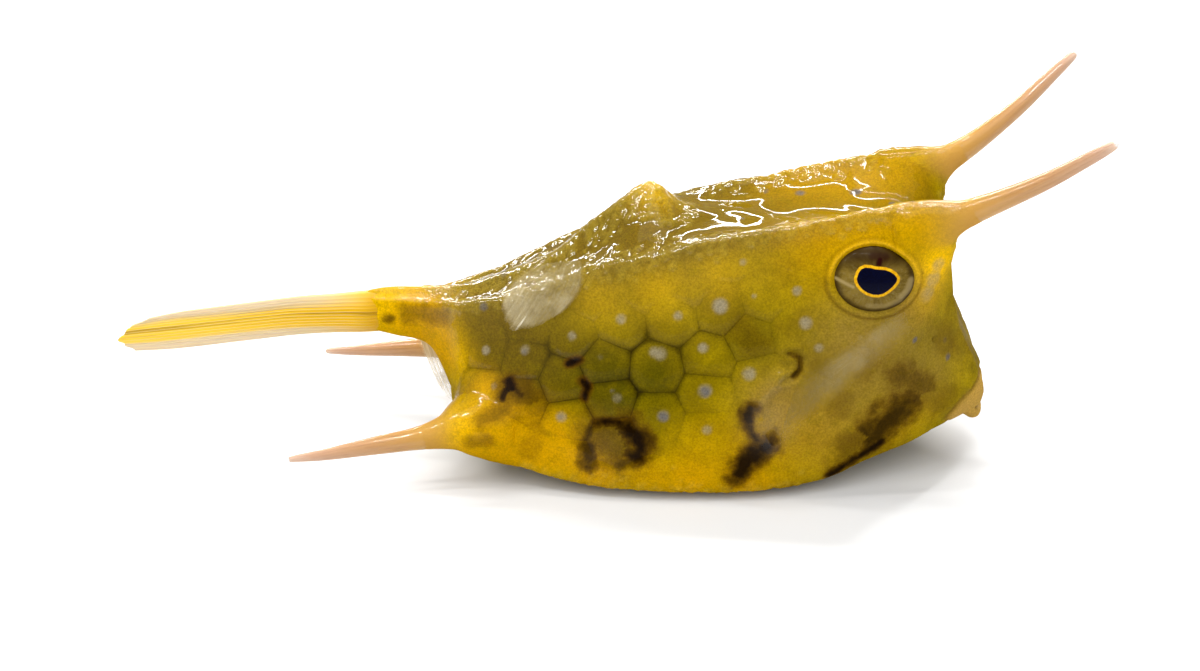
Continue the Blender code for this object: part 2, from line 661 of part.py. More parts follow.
def tail_fin(material, collection):
    """The closed tail fin, a long flat brush that droops a little."""
    def place(across, outward):
        reach = 1.0 - TAIL_FIN_ROUNDING * abs(2 * across - 0.9) ** 2.2
        level = read(TAIL_FIN_LEVEL, outward) + (0.5 - across) * read(TAIL_FIN_HEIGHT, outward)
        sway = TAIL_FIN_SWAY * math.sin(4.0 * outward) * outward
        x = STALK_END_X + CARAPACE_AHEAD - GAP - outward * TAIL_FIN_LENGTH * reach
        return Vector((x, sway, level)), Vector((0.0, 1.0, 0.0))

    def half_thick(across, outward):
        edge = FIN_THICK / 2
        roundness = math.sqrt(max(0.0, 1.0 - (2 * across - 1) ** 2))
        inner = read(TAIL_FIN_FLESH, outward) - edge + ray_height(across, outward, TAIL_RAYS)
        return edge + inner * roundness

    return membrane("tail_fin", place, half_thick, 2 * TAIL_RAYS, 14, material, collection)


def dorsal_fin(material, collection):
    """The dorsal fin, folded down over the right side of the back."""
    def place(across, outward):
        tip_drop = DORSAL_TIP_DROP + DORSAL_TIP_BULGE * math.sin(math.pi * across)
        x = between((between(DORSAL_BASE_X, across), between(DORSAL_TIP_X, across)), outward) * MM
        drop = between((DORSAL_BASE_DROP, tip_drop), outward)
        along = along_at(x, MIDDLE_LINES[0])
        sweep = np.linspace(0.0, 0.3, 200)
        arc = skin(np.full(len(sweep), along), sweep)
        run = np.concatenate(((0.0,), np.cumsum(np.linalg.norm(np.diff(arc, axis=0), axis=1))))
        around = np.interp(drop, run, sweep)
        normal = skin_normal([along], [around])[0]
        lift = FOLDED_FIN_LIFT + DORSAL_RISE * outward
        return Vector(skin([along], [around])[0] + normal * lift), Vector(normal)

    half_thick = film_thickness(DORSAL_RAYS)
    return membrane("dorsal_fin", place, half_thick, 2 * DORSAL_RAYS, 9, material, collection)


def pectoral_fin(name, side, material, collection):
    """A pectoral fin, laid forward over the cheek."""
    base = np.array(PECTORAL_BASE) * MM
    run = np.array(PECTORAL_TIP) * MM - base
    beside = np.array((-run[1], run[0])) / np.linalg.norm(run)

    def place(across, outward):
        reach = 1.0 - PECTORAL_ROUNDING * (2 * across - 1) ** 2
        offset = (0.5 - across) * read(PECTORAL_WIDTH, outward)
        x, z = base + run * outward * reach + beside * offset
        point, normal = flank_place(x, z, side)
        return point + normal * FOLDED_FIN_LIFT, normal

    half_thick = film_thickness(PECTORAL_RAYS)
    return membrane(name, place, half_thick, 2 * PECTORAL_RAYS, 8, material, collection)


def anal_fin(material, collection):
    """The anal fin, hanging limp under the tail stalk."""
    def place(across, outward):
        base_x = between(ANAL_BASE_X, across) * MM
        along = along_at(base_x, MIDDLE_LINES[1])
        base_z = skin([along], [MIDDLE_LINES[1]])[0][2] - GAP
        tip_z = ANAL_TIP_Z + ANAL_TIP_BULGE * (2 * across - 1) ** 2
        x = between((base_x, between(ANAL_TIP_X, across) * MM), outward)
        x -= ANAL_BEND * math.sin(math.pi * outward)
        return Vector((x + CARAPACE_AHEAD, 0.0, between((base_z, tip_z), outward))), Vector((0, 1, 0))

    half_thick = film_thickness(ANAL_RAYS)
    return membrane("anal_fin", place, half_thick, 2 * ANAL_RAYS, 7, material, collection)


def lip(name, rise, radius, material, collection):
    """One lip: a soft roll bent round half of the mouth; rise is 1 above and -1 below it."""
    forward = LIP_PLANE_NORMAL.normalized()
    across = Vector((0.0, 1.0, 0.0))
    upward = forward.cross(across)
    base = Vector((LIP_PLANE_X + CARAPACE_AHEAD, 0.0, LIP_PLANE_Z))
    bm = bmesh.new()
    rings = []
    for k in range(LIP_STEPS + 1):
        turn = LIP_TURN_START + LIP_TURN * k / LIP_STEPS
        thick = radius * (LIP_CORNER_SHARE + (1 - LIP_CORNER_SHARE) * math.sin(turn))
        outward = across * math.cos(turn) + upward * rise * math.sin(turn)
        centre = base + forward * (thick + GAP)
        centre += across * math.cos(turn) * MOUTH_HALF_WIDTH
        centre += upward * rise * (math.sin(turn) * MOUTH_HALF_HEIGHT + LIP_PARTING)
        ring = bmesh.ops.create_circle(bm, segments=LIP_SIDES, radius=thick)["verts"]
        frame = Matrix((outward, forward, outward.cross(forward))).transposed().to_4x4()
        bmesh.ops.transform(bm, verts=ring, matrix=Matrix.Translation(centre) @ frame)
        rings.append(ring)
    loops = [{edge for vert in ring for edge in vert.link_edges} for ring in rings]
    for first, second in zip(loops, loops[1:]):
        bmesh.ops.bridge_loops(bm, edges=list(first | second))
    close_holes(bm)
    return add_object(name, bm, material, collection)


def gill_cutter(name, side, material, collection):
    """A round rod that follows the skin and cuts the gill opening's groove."""
    bent = []
    for x, z in GILL_LINE:
        point, normal = flank_place(x * MM, z * MM, side)
        inner = point - normal * CUT_DEPTH
        bent.append(
            ((inner.x - CARAPACE_AHEAD) / MM, side * inner.y / MM, inner.z / MM, GILL_WIDTH / 2 / MM)
        )
    cutter, _ = tube(name, bent, side, GILL_STEPS, material, collection)
    return cutter


def nostril_cutter(name, side, material, collection):
    point, normal = flank_place(NOSTRIL_X, NOSTRIL_Z, side)
    bm = bmesh.new()
    bmesh.ops.create_cone(
        bm, cap_ends=True, segments=8, radius1=NOSTRIL_WIDTH / 2, radius2=NOSTRIL_WIDTH / 2,
        depth=2 * NOSTRIL_DEPTH,
    )
    bm.transform(Matrix.Translation(point) @ facing(normal))
    return add_object(name, bm, material, collection)


def build():
    clear_scene()
    fish = bpy.data.collections.new("longhorn_cowfish")
    bpy.context.scene.collection.children.link(fish)
    hide = new_material("wet_hide", (0.50, 0.34, 0.02), 0.25)
    pale = new_material("pale_horn", (0.80, 0.52, 0.26), 0.35)
    lips = new_material("lip_flesh", (0.62, 0.38, 0.16), 0.35)
    film = new_material("fin_membrane", (0.62, 0.50, 0.26), 0.3)
    glass = new_material("eye_surface", (0.02, 0.02, 0.05), 0.05)

    forward = Vector((1.0, 0.0, 0.0))
    neck = Vector((NECK_X + CARAPACE_AHEAD, 0.0, 0.0))
    stalk = Vector((STALK_X + CARAPACE_AHEAD, 0.0, 0.0))
    stalk_end = Vector((STALK_END_X + CARAPACE_AHEAD, 0.0, 0.0))
    muzzle = Vector((LIP_PLANE_X + CARAPACE_AHEAD, 0.0, LIP_PLANE_Z))
    trunk_mesh = plated_body()
    head_mesh = trunk_mesh.copy()
    slice_off(head_mesh, neck + forward * GAP / 2, -forward)
    slice_off(head_mesh, muzzle, LIP_PLANE_NORMAL)
    head = add_object("head", head_mesh, hide, fish)
    slice_off(trunk_mesh, neck - forward * GAP / 2, forward)
    slice_off(trunk_mesh, stalk + forward * GAP / 2, -forward)
    trunk = add_object("trunk", trunk_mesh, hide, fish)
    stalk_mesh = stalk_body()
    slice_off(stalk_mesh, stalk - forward * GAP / 2, forward)
    slice_off(stalk_mesh, stalk_end, -forward)
    add_object("tail_stalk", stalk_mesh, hide, fish)

    head_growths, head_holes, spine_roots, gill_slits = [], [], [], []
    for word, side in (("right", -1), ("left", 1)):
        head_growths.append(
            grow_rod("brow_horn_" + word, HORN_LINE, side, HORN_ROOT_SHARE, pale, fish)
        )
        spine_roots.append(
            grow_rod("belly_spine_" + word, SPINE_LINE, side, SPINE_ROOT_SHARE, pale, fish)
        )
        head_growths.append(eye_rim("rim_" + word, side, hide, fish))
        eye_shape("eye_" + word, side, 0.0, glass, fish)
        head_holes.append(eye_shape("socket_" + word, side, GAP, hide, fish))
        head_holes.append(nostril_cutter("nostril_" + word, side, hide, fish))
        gill_slits.append(gill_cutter("gill_" + word, side, hide, fish))
        pectoral_fin("pectoral_fin_" + word, side, film, fish)
    combine(head, head_growths, "UNION")
    combine(head, head_holes, "DIFFERENCE")
    combine(trunk, spine_roots, "UNION")
    combine(trunk, gill_slits, "DIFFERENCE")

    tail_fin(film, fish)
    dorsal_fin(film, fish)
    anal_fin(film, fish)
    lip("lip_upper", 1.0, UPPER_LIP_RADIUS, lips, fish)
    lip("lip_lower", -1.0, LOWER_LIP_RADIUS, lips, fish)


build()
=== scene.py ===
"""Juvenile longhorn cowfish, dressed: wet skin, horns, spines, eyes and folded fins.

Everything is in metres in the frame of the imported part: X runs to the snout, Y to the fish's
left side, Z up. One skin covers the head, the trunk, the tail stalk and both lips.
"""

import math
import random
import bmesh
import bpy
import numpy as np
from mathutils import Euler, Matrix, Vector
from mathutils.bvhtree import BVHTree
from mathutils.kdtree import KDTree


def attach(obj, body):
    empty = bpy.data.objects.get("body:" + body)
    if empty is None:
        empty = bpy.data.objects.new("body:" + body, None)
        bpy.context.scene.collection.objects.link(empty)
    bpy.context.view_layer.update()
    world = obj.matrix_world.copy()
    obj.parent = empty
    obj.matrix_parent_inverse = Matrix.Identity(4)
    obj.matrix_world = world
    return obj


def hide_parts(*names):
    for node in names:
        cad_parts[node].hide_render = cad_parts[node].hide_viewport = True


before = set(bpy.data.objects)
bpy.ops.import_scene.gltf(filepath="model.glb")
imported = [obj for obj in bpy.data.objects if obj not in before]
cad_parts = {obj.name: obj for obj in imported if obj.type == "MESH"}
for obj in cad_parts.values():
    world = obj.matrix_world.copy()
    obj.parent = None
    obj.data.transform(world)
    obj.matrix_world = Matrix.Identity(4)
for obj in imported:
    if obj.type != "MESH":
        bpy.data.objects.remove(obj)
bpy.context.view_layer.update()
MM = 0.001
RIGHT = -1
CARAPACE_AHEAD = 12.7 * MM

# The photograph's own camera, worked out from the inch grid that the fish lies on
PICTURE_WIDTH, PICTURE_HEIGHT = 1200, 671
FOCAL_PIXELS = 2141.94
CAMERA_PLACE = Vector((11.42, -188.28, 105.82)) * MM
CAMERA_TURN = Euler([math.radians(angle) for angle in (63.385, 1.070, 2.605)], "XYZ")

# Sections of the carapace and tail stalk, as in the part's source, in millimetres:
# x at mid height, lean, top of the keel, half width and height of the upper ridge,
# half width of the flank, half width and height of the lower ridge, height of the belly
SECTIONS = (
    (25.3, 0.00, 5.4, 0.0, 5.4, 0.0, 0.0, 5.4, 5.4),
    (25.5, 0.36, 7.1, 1.7, 6.8, 2.4, 1.9, 4.6, 4.2),
    (24.6, 0.42, 8.8, 2.5, 8.4, 3.9, 3.2, 4.5, 3.4),
    (22.9, 0.43, 11.2, 3.6, 11.2, 5.7, 5.2, 4.4, 2.5),
    (20.4, 0.40, 14.6, 4.3, 15.0, 7.6, 7.3, 3.6, 1.45),
    (17.7, 0.42, 19.0, 5.0, 20.8, 9.1, 9.1, 2.7, 0.65),
    (16.3, 0.42, 22.4, 6.2, 26.0, 9.9, 10.3, 1.95, 0.1),
    (14.0, 0.40, 24.4, 6.9, 28.1, 10.3, 11.1, 1.4, -0.2),
    (9.4, 0.31, 24.8, 6.9, 27.5, 10.6, 11.8, 1.15, -0.25),
    (3.3, 0.14, 24.5, 6.8, 25.7, 10.9, 12.3, 1.0, -0.25),
    (-3.2, 0.02, 25.0, 6.9, 24.0, 10.9, 12.4, 1.0, -0.25),
    (-6.6, 0.00, 27.6, 7.0, 22.9, 10.8, 12.3, 1.05, -0.25),
    (-11.2, 0.00, 24.2, 6.5, 21.5, 10.5, 11.9, 1.2, -0.2),
    (-16.0, 0.00, 20.4, 5.2, 19.2, 9.8, 11.0, 1.8, 0.2),
    (-20.8, 0.00, 18.0, 4.1, 17.4, 8.5, 9.6, 3.0, 1.5),
    (-24.6, 0.00, 16.8, 3.1, 16.2, 6.1, 7.2, 4.3, 3.2),
    (-26.4, 0.00, 16.6, 2.2, 15.9, 3.1, 3.4, 8.0, 7.2),
    (-28.4, 0.00, 16.6, 1.7, 15.8, 2.2, 1.7, 11.2, 10.4),
    (-32.0, 0.00, 16.6, 1.4, 15.9, 1.8, 1.25, 12.1, 11.5),
    (-34.0, 0.00, 16.3, 0.85, 15.6, 1.05, 0.75, 12.4, 12.0),
    (-36.0, 0.00, 15.6, 0.3, 15.0, 0.36, 0.26, 13.0, 12.7),
)
FLANK_LEVEL, TROUGH_DEPTH, FLANK_SWELL, BELLY_SWELL = 0.46, 0.35, 0.25, 0.5
RIDGE_TIGHTNESS, FULL_HALF_WIDTH = 0.55, 8.0
UPPER_RIDGE, LOWER_RIDGE = 2, 6
KEEL_LINE, BELLY_LINE = 0.0, 0.5
SMALL_STEP = 1e-4

# Horn and spine centre lines, (x, half spread, z, radius) in millimetres
HORN_LINE = (
    (16.5, 6.6, 25.6, 2.0), (20.6, 6.7, 26.6, 1.6), (24.4, 7.5, 28.5, 1.08), (29.0, 9.4, 31.6, 0.78),
    (32.6, 11.1, 34.6, 0.58), (34.2, 11.8, 35.95, 0.42), (34.6, 12.0, 36.3, 0.18),
)
SPINE_LINE = (
    (-20.5, 7.8, 5.6, 2.75), (-24.3, 8.6, 5.8, 2.5), (-26.4, 9.1, 5.4, 1.65), (-29.0, 9.7, 5.05, 1.1),
    (-33.0, 10.35, 4.6, 0.86), (-37.5, 11.0, 4.0, 0.55), (-40.7, 11.4, 3.7, 0.3), (-41.2, 11.5, 3.65, 0.12),
)
HORN_CUT, SPINE_CUT = 0.3, 0.4  # share of the line that belongs to the body
ROOT_INSIDE = 0.35  # steps of the line that a horn or spine starts inside the root
ROOT_PAST_CUT = 0.35  # steps of the line that the skin's root runs on inside the horn
ROOT_RINGS, ROD_RINGS, ROD_SIDES = 48, 96, 32
ROOT_TAPER, ROD_SWELL, ROD_TAPER = 0.2 * MM, 0.02 * MM, 0.12 * MM
EYE_X, EYE_Z = 14.2 * MM, 21.7 * MM
EYE_WIDE, EYE_TALL, EYE_DEEP, EYE_SUNK = 7.6 * MM, 6.5 * MM, 3.6 * MM, 0.5 * MM
NOSTRIL_X, NOSTRIL_Z = 20.3 * MM, 14.6 * MM
LIP_PLACE = Vector((24.28 * MM + CARAPACE_AHEAD, 0.0, 5.19 * MM))
LIP_FORWARD = Vector((0.93, 0.0, -0.37)).normalized()
LIP_ACROSS = Vector((0.0, 1.0, 0.0))
LIP_UPWARD = LIP_FORWARD.cross(LIP_ACROSS)
MOUTH_HALF_WIDTH, MOUTH_HALF_HEIGHT, LIP_PARTING = 1.8 * MM, 0.73 * MM, 0.26 * MM
UPPER_LIP_RADIUS, LOWER_LIP_RADIUS = 0.65 * MM, 0.98 * MM
LIP_TURN_START, LIP_TURN = math.radians(8), math.radians(164)
LIP_CORNER_SHARE, LIP_GAP = 0.55, 0.3 * MM

# How the skin is fused: its grain, the fillets at its roots and the finer parts round eyes and mouth
VOXEL, BODY_DIVISIONS = 0.275 * MM, (280, 240)
HORN_FILLET, SPINE_FILLET, LIP_FILLET, FILLET_MARGIN = 2.0 * MM, 3.0 * MM, 0.9 * MM, 0.5 * MM
FILLET_RISE, SETTLE_RANGE = 0.3, (0.2 * MM, 0.6 * MM)
FINE_MOUTH, FINE_EYE = 4.6 * MM, 5.2 * MM
HORN_SHELLS, SPINE_SHELLS, LIP_SHELLS = (0, 2), (1, 3), (4, 5)
MIRROR = Matrix.Diagonal((1.0, -1.0, 1.0, 1.0))

# How high the reliefs of the skin stand, how deep they lie and how wide some of them are
CORNER_ROUNDING, PLATE_MARGIN, DOME_REACH = 0.35 * MM, 0.14 * MM, 1.3 * MM
PLATE_SINK, GROOVE_DEPTH, GROOVE_WIDTH = 0.26 * MM, 0.06 * MM, 0.12 * MM
EYE_RIM_RISE, EYE_SWELL_RISE, LID_DEPTH, SOCKET_DEPTH = 0.08 * MM, 0.2 * MM, 0.14 * MM, 1.3 * MM
GILL_DEPTH, GILL_WIDTH, GILL_LIP_RISE = 0.42 * MM, 0.25 * MM, 0.14 * MM
LOBE_RISE, LOBE_WIDTH, WET_LOBE_WIDTH, GLITTER_WIDTH = 0.6 * MM, 0.75 * MM, 1.0 * MM, 1.2 * MM
NOSTRIL_DEPTH, NOSTRIL_RIM_RISE = 0.4 * MM, 0.08 * MM
LIP_CREASE_DEPTH, LIP_CREASE_PIXELS, PARTING_DEPTH, PARTING_WIDTH = 0.18 * MM, 1.6, 0.3 * MM, 0.16 * MM
EYE_DEPTH_REACH, LIPS_START, FAR_OFF = 4 * MM, 20 * MM, 9.0

# Width and middle of the rings round the eye, as shares of its radius, and of other raised rings
EYE_RIM, EYE_SWELL, SECOND_LID = (0.04, 1.05), (0.16, 1.08), (0.045, 1.17)
GILL_LIP, NOSTRIL_RIM = (0.35 * MM, 0.65 * MM), (0.2 * MM, 0.5 * MM)

# Where reliefs and colours set in and are full: by share of the eye's radius, by upward slope, by
# fish x, by height or by distance
PAST_EYE, SOCKET_EDGE = (1.15, 1.6), (0.84, 0.93)
PLATED_TOP, PLATED_BELLY, RIPPLED_TOP, UPRIGHT = (0.25, 0.6), (0.3, 0.7), (0.35, 0.8), (0.15, 0.6)
PLATES_END, BACK_REAR = (-27.5 * MM, -24.5 * MM), (-27 * MM, -22 * MM)
BACK_FRONT, DRIER_FOREHEAD, FACE_START = (15 * MM, 19 * MM), (13 * MM, 17 * MM), (0.0, 8 * MM)
HORN_ROOT_PALE, SPINE_ROOT_PALE = (18.5 * MM, 23 * MM), (24.5 * MM, 27.8 * MM)
FACE_TOP, CREASE_LEVEL = (16 * MM, 21 * MM), (3 * MM, 4 * MM)
BELOW_EYE, YELLOW_RIM = (-0.5 * MM, 1.5 * MM), (-0.5 * MM, 1.2 * MM)
PARTING_START, MOUTH_CORNER = (0.1 * MM, 0.5 * MM), (1.9 * MM, 2.6 * MM)
NOSTRIL_EDGE, LIP_EDGE_PIXELS = (0.12 * MM, 0.35 * MM), (-2.0, 3.0)


def cubic(share, width, start, end, start_slope, end_slope):
    """Cubic between two values with the given slopes."""
    return (
        (2 * share**3 - 3 * share**2 + 1) * start
        + (share**3 - 2 * share**2 + share) * width * start_slope
        + (3 * share**2 - 2 * share**3) * end
        + (share**3 - share**2) * width * end_slope
    )


def spline(knots, values, at):
    """Smooth curve through the values at the knots."""
    knots = np.asarray(knots, float)
    values = np.asarray(values, float)
    shape = (-1,) + (1,) * (values.ndim - 1)
    before = np.maximum(np.arange(len(knots)) - 1, 0)
    after = np.minimum(np.arange(len(knots)) + 1, len(knots) - 1)
    slopes = (values[after] - values[before]) / (knots[after] - knots[before]).reshape(shape)
    place = np.clip(np.searchsorted(knots, at, side="right") - 1, 0, len(knots) - 2)
    width = knots[place + 1] - knots[place]
    share = ((at - knots[place]) / width).reshape(shape)
    width = width.reshape(shape)
    return cubic(
        share, width, values[place], values[place + 1], slopes[place], slopes[place + 1]
    )


def table(pairs, at):
    """Value in millimetres from a table of (share, millimetres)."""
    shares, values = zip(*pairs)
    return np.interp(at, shares, values) * MM


def section_ring(section):
    """Sixteen points round one section, from the keel down the right side and back up."""
    x, lean, top, ridge_half, ridge_up, flank_half, edge_half, edge_up, belly_up = section
    flank_up = edge_up + FLANK_LEVEL * (ridge_up - edge_up)
    size = min(1.0, edge_half / FULL_HALF_WIDTH)
    keel = np.array((0.0, top))
    ridge = np.array((ridge_half, ridge_up))
    flank = np.array((flank_half, flank_up))
    edge = np.array((edge_half, edge_up))
    belly = np.array((0.0, belly_up))
    half = [
        keel,
        (keel + ridge) / 2 - np.array((0.0, TROUGH_DEPTH * size)),
        ridge,
        (ridge + flank) / 2 + np.array((FLANK_SWELL * size, 0.0)),
        flank,
        (flank + edge) / 2 + np.array((FLANK_SWELL * size, 0.0)),
        edge,
        (edge + belly) / 2 - np.array((0.0, BELLY_SWELL * size)),
        belly,
    ]
    right = [(x + lean * (up - flank_up), -out, up) for out, up in half]
    left = [(px, -py, pz) for px, py, pz in right[-2:0:-1]]
    return np.array(right + left) * MM + np.array((CARAPACE_AHEAD, 0.0, 0.0))


RINGS = np.array([section_ring(section) for section in SECTIONS])
RING_POINTS = RINGS.shape[1]
STEPS_ALONG = np.linalg.norm(np.diff(RINGS, axis=0), axis=2).mean(axis=1)
ALONG_KNOTS = np.concatenate(((0.0,), np.cumsum(STEPS_ALONG))) / STEPS_ALONG.sum()
FULL_RINGS = slice(3, 15)
STEPS_AROUND = np.linalg.norm(np.roll(RINGS, -1, axis=1) - RINGS, axis=2)[FULL_RINGS].mean(axis=0)
AROUND_KNOTS = np.concatenate(((0.0,), np.cumsum(STEPS_AROUND)[:-1])) / STEPS_AROUND.sum()
RIDGES = (UPPER_RIDGE, LOWER_RIDGE, RING_POINTS - LOWER_RIDGE, RING_POINTS - UPPER_RIDGE)
AROUND_EASE = np.array([RIDGE_TIGHTNESS if k in RIDGES else 1.0 for k in range(RING_POINTS)])


def skin(along, around):
    """Points on the body: along runs 0 to 1 from mouth to stalk, around 0 to 1 from the keel."""
    along = np.asarray(along, float).ravel()
    around = np.mod(np.asarray(around, float).ravel(), 1.0)
    rings = spline(ALONG_KNOTS, RINGS, along)
    spread = np.mod(np.roll(AROUND_KNOTS, -1) - np.roll(AROUND_KNOTS, 1), 1.0)
    slopes = np.roll(rings, -1, axis=1) - np.roll(rings, 1, axis=1)
    slopes = slopes * (AROUND_EASE / spread)[None, :, None]
    place = np.searchsorted(AROUND_KNOTS, around, side="right") - 1
    following = (place + 1) % RING_POINTS
    width = np.mod(AROUND_KNOTS[following] - AROUND_KNOTS[place], 1.0)[:, None]
    share = (around - AROUND_KNOTS[place])[:, None] / width
    row = np.arange(len(around))
    points = cubic(
        share, width, rings[row, place], rings[row, following],
        slopes[row, place], slopes[row, following],
    )
    points[:, 2] = np.maximum(points[:, 2], 0.0)
    return points


def skin_normal(along, around):
    """Outward directions on the body."""
    along = np.clip(np.asarray(along, float).ravel(), 2e-3, 1 - 2e-3)
    around = np.asarray(around, float).ravel()
    backward = skin(along + SMALL_STEP, around) - skin(along - SMALL_STEP, around)
    downward = skin(along, around + SMALL_STEP) - skin(along, around - SMALL_STEP)
    normal = np.cross(backward, downward)
    return normal / np.maximum(np.linalg.norm(normal, axis=1), 1e-12)[:, None]


SEARCH_ALONG, SEARCH_AROUND = np.meshgrid(
    np.linspace(0.02, 0.98, 160), np.linspace(0.0, AROUND_KNOTS[LOWER_RIDGE], 90), indexing="ij"
)
SEARCH_POINTS = skin(SEARCH_ALONG, SEARCH_AROUND)


def on_flank(x, z):
    """Find (along, around) on the right flank for a fish x and a height z."""
    target = np.array((x + CARAPACE_AHEAD, z))
    nearest = np.argmin(((SEARCH_POINTS[:, (0, 2)] - target) ** 2).sum(axis=1))
    guess = np.array((SEARCH_ALONG.ravel()[nearest], SEARCH_AROUND.ravel()[nearest]))
    for _ in range(5):
        here = skin(guess[:1], guess[1:])[0, (0, 2)]
        ahead = skin(guess[:1] + SMALL_STEP, guess[1:])[0, (0, 2)]
        below = skin(guess[:1], guess[1:] + SMALL_STEP)[0, (0, 2)]
        change = np.column_stack((ahead - here, below - here)) / SMALL_STEP
        guess = guess + np.linalg.lstsq(change, target - here, rcond=None)[0]
    return guess


def flank_place(x, z):
    """Point and outward direction on the right flank."""
    along, around = on_flank(x, z)
    return Vector(skin([along], [around])[0]), Vector(skin_normal([along], [around])[0])


def along_at(x, around):
    """How far along the body one of its lines reaches a fish x behind the head."""
    track = np.linspace(0.4, 1.0, 400)
    line = skin(track, np.full(len(track), around))
    return np.interp(-(x + CARAPACE_AHEAD), -line[:, 0], track)


def turned_to(*directions):
    """Rotation whose X, Y and Z run along three directions."""
    return Matrix(directions).transposed().to_4x4()


def facing(normal):
    """Rotation whose Z runs along the normal and whose X stays level and points forward."""
    across = Vector((0.0, 0.0, 1.0)).cross(normal).normalized()
    if across.x < 0:
        across = -across
    return turned_to(across, normal.cross(across), normal)


def sight_line(px, py):
    """Direction in which the photograph's camera sees a pixel."""
    seen = ((px - PICTURE_WIDTH / 2) / FOCAL_PIXELS, (PICTURE_HEIGHT / 2 - py) / FOCAL_PIXELS, -1.0)
    return (CAMERA_TURN.to_matrix() @ Vector(seen)).normalized()


def pixels_of(points):
    """Where the photograph's camera sees places."""
    turned = (points - np.array(CAMERA_PLACE)) @ np.array(CAMERA_TURN.to_matrix())
    scale = FOCAL_PIXELS / -turned[:, 2]
    return np.column_stack((
        PICTURE_WIDTH / 2 + turned[:, 0] * scale, PICTURE_HEIGHT / 2 - turned[:, 1] * scale,
    ))


def seen_at(tree, pixel):
    """Place and outward direction of a surface where the camera sees a pixel."""
    return tree.ray_cast(CAMERA_PLACE, sight_line(*pixel))[:2]


def smooth_step(value, low, high):
    """Share that rises smoothly from 0 at the low value to 1 at the high one."""
    share = np.clip((value - low) / (high - low), 0.0, 1.0)
    return share * share * (3 - 2 * share)


def bell(value, width, middle=0.0):
    """Share that is 1 where the value is at the middle and fades over the width."""
    return np.exp(-(((value - middle) / width) ** 2))


def keep_attribute(mesh, name, *columns, domain="POINT"):
    """Store one column of numbers or three for the points or corners of a mesh."""
    values = np.column_stack(columns).astype(np.float32)
    kind, word = ("FLOAT", "value") if values.shape[1] == 1 else ("FLOAT_VECTOR", "vector")
    mesh.attributes.new(name, kind, domain).data.foreach_set(word, values.ravel())


def new_object(name, data):
    """Add an object to the scene."""
    made = bpy.data.objects.new(name, data)
    bpy.context.scene.collection.objects.link(made)
    return made


def add_piece(name, mesh, material, slot, *nodes):
    """Add a finished piece that stands for CAD nodes and rides on the body."""
    mesh.name = name
    mesh.materials.clear()
    mesh.materials.append(material)
    mesh.shade_smooth()
    piece = new_object(name, mesh)
    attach(piece, "root")
    if nodes:
        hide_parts(*nodes)
    return piece


def mirrored(piece, name, slot, *nodes):
    """The same piece on the fish's left side."""
    bm = bmesh.new()
    bm.from_mesh(piece.data)
    bm.transform(MIRROR)
    bmesh.ops.reverse_faces(bm, faces=bm.faces)
    return add_piece(name, to_mesh(bm, name), piece.data.materials[0], slot, *nodes)


def to_mesh(bm, name):
    """Turn a bmesh into a mesh and free it."""
    mesh = bpy.data.meshes.new(name)
    bm.to_mesh(mesh)
    bm.free()
    return mesh


def split_large_faces(bm):
    """Triangulate the faces of more than four corners."""
    bmesh.ops.triangulate(bm, faces=[face for face in bm.faces if len(face.verts) > 4])


def sweep(bm, path, frames, radii, sides):
    """A round rod along a path, with its own frame and radius at every point, closed."""
    rings = []
    for place, turn, radius in zip(path, frames, radii):
        ring = bmesh.ops.create_circle(bm, segments=sides, radius=radius)["verts"]
        bmesh.ops.transform(bm, verts=ring, matrix=Matrix.Translation(place) @ turn)
        rings.append(ring)
    loops = [{edge for vert in ring for edge in vert.link_edges} for ring in rings]
    for first, second in zip(loops, loops[1:]):
        bmesh.ops.bridge_loops(bm, edges=list(first | second))
    for ring in (rings[0], rings[-1]):
        bm.faces.new(ring)
    split_large_faces(bm)
    bmesh.ops.recalc_face_normals(bm, faces=bm.faces)


def rod_path(line, start, end, steps):
    """Points, frames and radii of a horn or spine on the right side between two knots."""
    rows = spline(np.arange(len(line), dtype=float), line, np.linspace(start, end, steps))
    points = [Vector((x * MM + CARAPACE_AHEAD, RIGHT * out * MM, z * MM)) for x, out, z, _ in rows]
    frames = []
    for k in range(steps):
        ahead = (points[min(k + 1, steps - 1)] - points[max(k - 1, 0)]).normalized()
        level = Vector((0.0, 0.0, 1.0)).cross(ahead).normalized()
        frames.append(turned_to(level, ahead.cross(level), ahead))
    return points, frames, rows[:, 3] * MM


def body_shell():
    """The body's closed form without its plates, finely divided."""
    bm = bmesh.new()
    bmesh.ops.create_grid(bm, x_segments=BODY_DIVISIONS[0], y_segments=BODY_DIVISIONS[1], size=0.5)
    along = [vert.co.x + 0.5 for vert in bm.verts]
    around = [vert.co.y + 0.5 for vert in bm.verts]
    for vert, place in zip(bm.verts, skin(along, around)):
        vert.co = place
    bmesh.ops.remove_doubles(bm, verts=bm.verts, dist=1e-6)
    bmesh.ops.holes_fill(bm, edges=[edge for edge in bm.edges if edge.is_boundary], sides=0)
    split_large_faces(bm)
    bmesh.ops.recalc_face_normals(bm, faces=bm.faces)
    return bm


def root_shell(line, cut, side):
    """The part of a horn or spine that grows out of the body."""
    steps = len(line) - 1
    last = cut * steps + ROOT_PAST_CUT
    path, frames, radii = rod_path(line, 0.0, last, ROOT_RINGS)
    past = np.linspace(0.0, last, ROOT_RINGS) - cut * steps
    radii = radii - ROOT_TAPER * smooth_step(past, 0.0, ROOT_PAST_CUT)
    bm = bmesh.new()
    sweep(bm, path, frames, radii, ROD_SIDES)
    if side != RIGHT:
        bm.transform(MIRROR)
        bmesh.ops.recalc_face_normals(bm, faces=bm.faces)
    return bm


